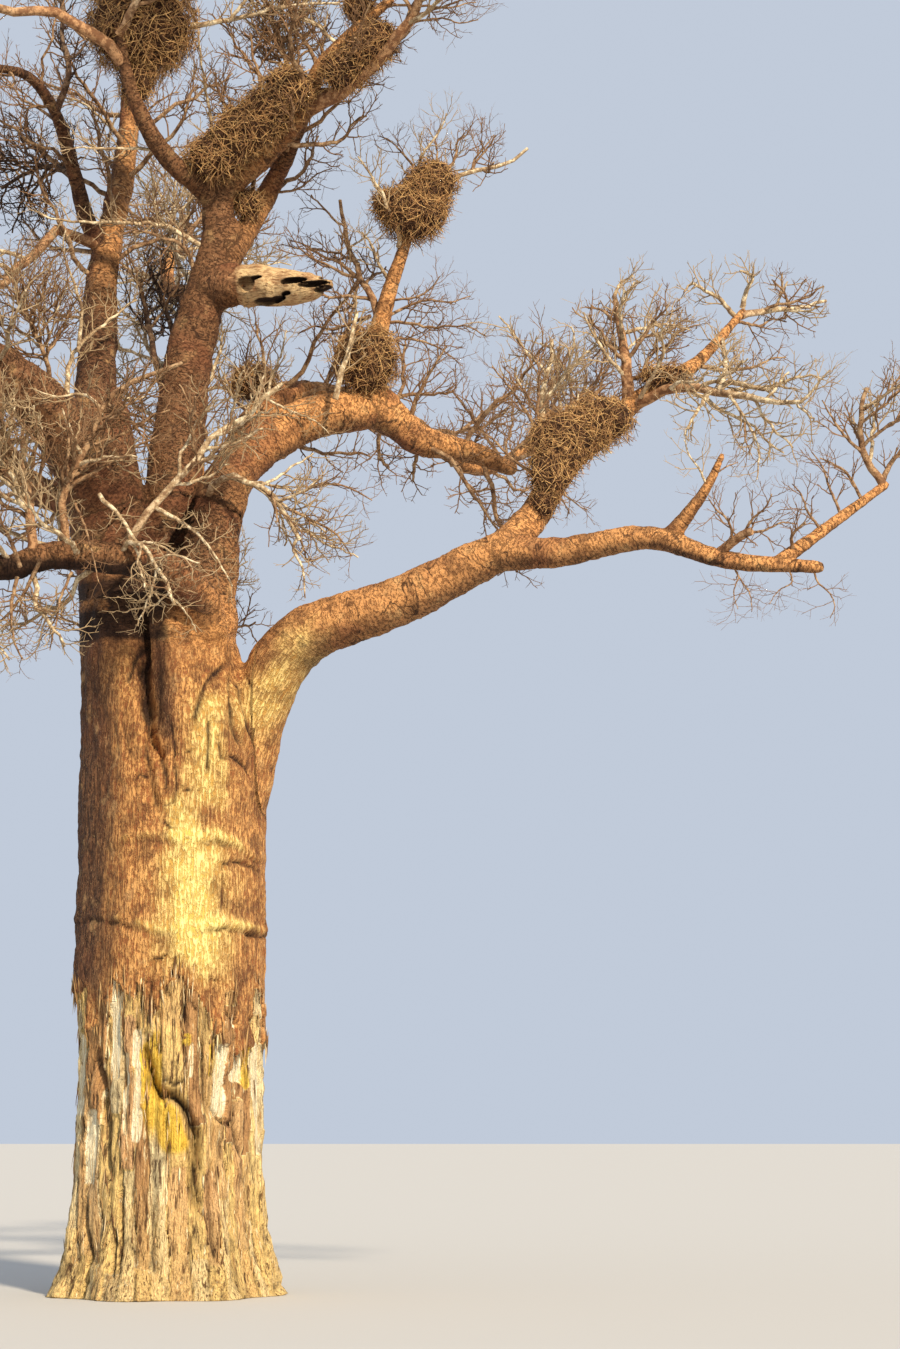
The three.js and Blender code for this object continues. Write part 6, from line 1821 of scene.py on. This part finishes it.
# Nests: heaps of thorny sticks that birds have woven into the forks, dark inside, with loose ends that
# stand out all round and hang below.
SMALL_NESTS = in_metres([
    ((752, -30, 1389), (43, 30, 20)),
    ((95, 250, 1460), (43, 40, 34)),
    ((96, 30, 1692), (28, 28, 28)),
    ((-66, -105, 1842), (30, 30, 42)),
    ((560, -150, 1162), (20, 20, 26)),
    ((278, -90, 1968), (27, 27, 26)),
])
STICKS_A_SQUARE_METRE = 340
SHORTEST_STICK = 0.14
STICK_LENGTH_VARIES = 0.3
THINNEST_STICK = 0.0042
STICK_RADIUS_VARIES = 0.0045
STICK_TAPER = 0.5
BURIED_DEPTH = 0.8
FILLING_SHARE = 0.47
CORE_SHARE = 0.8
CORE_RINGS = 18
CORE_SIDES = 32
CORE_TIP = 0.08
CORE_LUMPS = 0.12


def all_round(count, seed):
    """Directions spread evenly all round, with a little disorder."""
    index = np.arange(count)
    height = 1 - 2 * (index + chance(seed + index, 1)) / count
    turn = GOLDEN_TURN * index + chance(seed + index, 2)
    level = np.sqrt(1 - height**2)
    return np.column_stack([level * np.cos(turn), level * np.sin(turn), height])


def nest_core(centre, size, seed):
    """The dark middle of a lump of a nest, a little smaller and uneven: painted shade between the sticks."""
    turn = np.linspace(0, 2 * math.pi, CORE_SIDES, endpoint=False)
    tilt = np.linspace(CORE_TIP, math.pi - CORE_TIP, CORE_RINGS)
    down, along = np.meshgrid(tilt, turn, indexing="ij")
    ball = np.stack([np.sin(down) * np.cos(along), np.sin(down) * np.sin(along), np.cos(down)], axis=-1)
    ball = ball.reshape(-1, 3) * size * CORE_SHARE
    swell = 1 + CORE_LUMPS * grain(ball + centre, (5, 5, 5), seed)
    return ball * swell[:, None] + centre, [face[::-1] for face in ring_faces(CORE_RINGS, CORE_SIDES)]


def nest_sticks(centre, size, others, seed):
    """Crooked sticks laid over a lump, as ways: most lie along its skin and some stand out."""
    size = np.array(size)
    wide = (size.prod() ** 2) ** (1 / 6)
    count = int(4 * math.pi * wide**2 * STICKS_A_SQUARE_METRE)
    out = all_round(count, seed)
    mark = seed * 7 + np.arange(count)
    depth = 0.8 + 0.2 * chance(mark, 3) + 0.1 * grain(out * size + centre, (4, 4, 4), seed)
    middle = centre + out * size * depth[:, None]
    loose = chance(mark[:, None], 4 + np.arange(3)) - 0.5
    skin = unit(out / size)
    lying = unit(np.cross(skin, loose))
    stand = (1.25 * chance(mark, 8) ** 2 - 0.12)[:, None]
    hang = 0.15 + 1.1 * ease(-out[:, 2], 0, 0.7) * chance(mark, 13)
    heading = unit(lying + skin * stand - hang[:, None] * (0, 0, 1))
    length = (SHORTEST_STICK + STICK_LENGTH_VARIES * chance(mark, 9) ** 1.3)[:, None]
    bend = unit(np.cross(heading, loose)) * length * (0.38 * (chance(mark, 10) - 0.4))[:, None]
    ways = np.stack([
        middle - heading * length * 0.5,
        middle - heading * length * 0.15 + bend,
        middle + heading * length * 0.2 + bend * 0.7,
        middle + heading * length * 0.55,
    ], axis=1)
    shown = np.ones(count, bool)
    for lump, reach in others:
        shown &= depth_in(middle, lump, reach) >= BURIED_DEPTH
    thick = THINNEST_STICK + STICK_RADIUS_VARIES * chance(mark, 11)
    thin = thick * STICK_TAPER
    return chosen({"way": ways, "thick": thick, "thin": thin, "tone": chance(mark, 12)}, shown)


def filled_out(lumps):
    """A nest's lumps, with one more between each and the next, so that it is one long heap."""
    result = list(lumps[:1])
    for (last, last_size), (centre, size) in zip(lumps, lumps[1:]):
        middle = tuple((a + b) / 2 for a, b in zip(last, centre))
        filling = tuple(FILLING_SHARE * (a + b) for a, b in zip(last_size, size))
        result += [(middle, filling), (centre, size)]
    return result


# The sticks' colours, each with the tones from which and up to which it is dealt out.
STICK_COLORS = {
    "straw": ((0.64, 0.39, 0.155), 0, 0.38),
    "brown": ((0.38, 0.2, 0.08), 0.38, 0.78),
    "shaded": ((0.1, 0.046, 0.02), 0.78, 1),
}
cores, sticks = [], []
heaps = [filled_out(lumps) for lumps in NESTS.values()] + [[lump] for lump in SMALL_NESTS]
for number, lumps in enumerate(heaps):
    for index, (centre, size) in enumerate(lumps):
        others = [lump for lump in lumps if lump[0] != centre]
        cores.append(nest_core(centre, size, 600 + 10 * number + index))
        sticks.append(nest_sticks(np.array(centre), size, others, 700 + 10 * number + index))
stick_heap = {key: np.concatenate([part[key] for part in sticks]) for key in sticks[0]}


def core_finish():
    """The shade between the sticks, woven of almost black and brown."""
    made, start = start_of("nest_shade")
    place = start.node("ShaderNodeTexCoord", output=3)
    weave = place.noise(38, 4, 0.65, 1.5)
    color = weave.between(0.42, 0.62).tint(rgb(0.025, 0.012, 0.008), rgb(0.16, 0.075, 0.032))
    return finish_surface(made, color, weave * 0.1 + 0.85, weave, 0.03)


core = new_object("nest_shade_hearts", *joined(cores))
core.data.materials.append(core_finish())
for face in core.data.polygons:
    face.use_smooth = True
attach(core, "root")
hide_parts(*NESTS)
for tone, (color, least, most) in STICK_COLORS.items():
    mine = chosen(stick_heap, (stick_heap["tone"] >= least) & (stick_heap["tone"] < most))
    piece = wooden(f"nest_sticks_{tone}", [(mine, 3)], plain_finish(f"{tone}_stick", color, 0.9))
    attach(piece, "root")


# Ground, light and camera: a plain pale floor under soft light, with a warm key from the right, and a
# long view from a little way off at the height of someone standing.
CAMERA_PITCH = round(math.degrees(TIPPED_UP), 3)
LONG_SIDE_PIXELS = 1349
SENSOR = 36
FLOOR_REACH = 400
FLOOR_DROP = 0.004

floor_corners = [(-1, -1, 0), (1, -1, 0), (1, 1, 0), (-1, 1, 0)]
floor = new_object("floor", np.multiply(floor_corners, FLOOR_REACH), [[0, 1, 2, 3]])
floor.data.materials.append(plain_finish("pale_floor", (0.56, 0.54, 0.5), 0.95))
floor.location.z = -FLOOR_DROP
floor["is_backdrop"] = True


def sun(name, color, strength, softness, pitch, turn):
    """A soft distant light that comes from a height and a direction, in degrees."""
    light = bpy.data.lights.new(name, "SUN")
    light.color = color
    light.energy = strength
    light.angle = math.radians(softness)
    linked(name, light).rotation_euler = (math.radians(90 - pitch), 0, math.radians(turn))


sun("key_light", color=(1, 0.86, 0.66), strength=4.9, softness=5, pitch=32, turn=27)
world = bpy.data.worlds.new("pale_sky")
world.use_nodes = True
world.node_tree.nodes["Background"].inputs["Color"].default_value = rgb(0.76, 0.85, 1)
world.node_tree.nodes["Background"].inputs["Strength"].default_value = 0.7
bpy.context.scene.world = world
bpy.context.scene.view_settings.view_transform = "Standard"

camera_data = bpy.data.cameras.new("camera")
camera_data.sensor_width = SENSOR
camera_data.sensor_fit = "AUTO"
camera_data.lens = LENS_PIXELS / LONG_SIDE_PIXELS * SENSOR
camera_data.clip_end = 1000
camera = linked("camera", camera_data)
camera.location = CAMERA_AT
camera.rotation_euler = (math.radians(90 + CAMERA_PITCH), 0, 0)
bpy.context.scene.camera = camera

sizes = {"cad": [list(corner) for corner in cad_box], "visual": [list(corner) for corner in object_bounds()]}
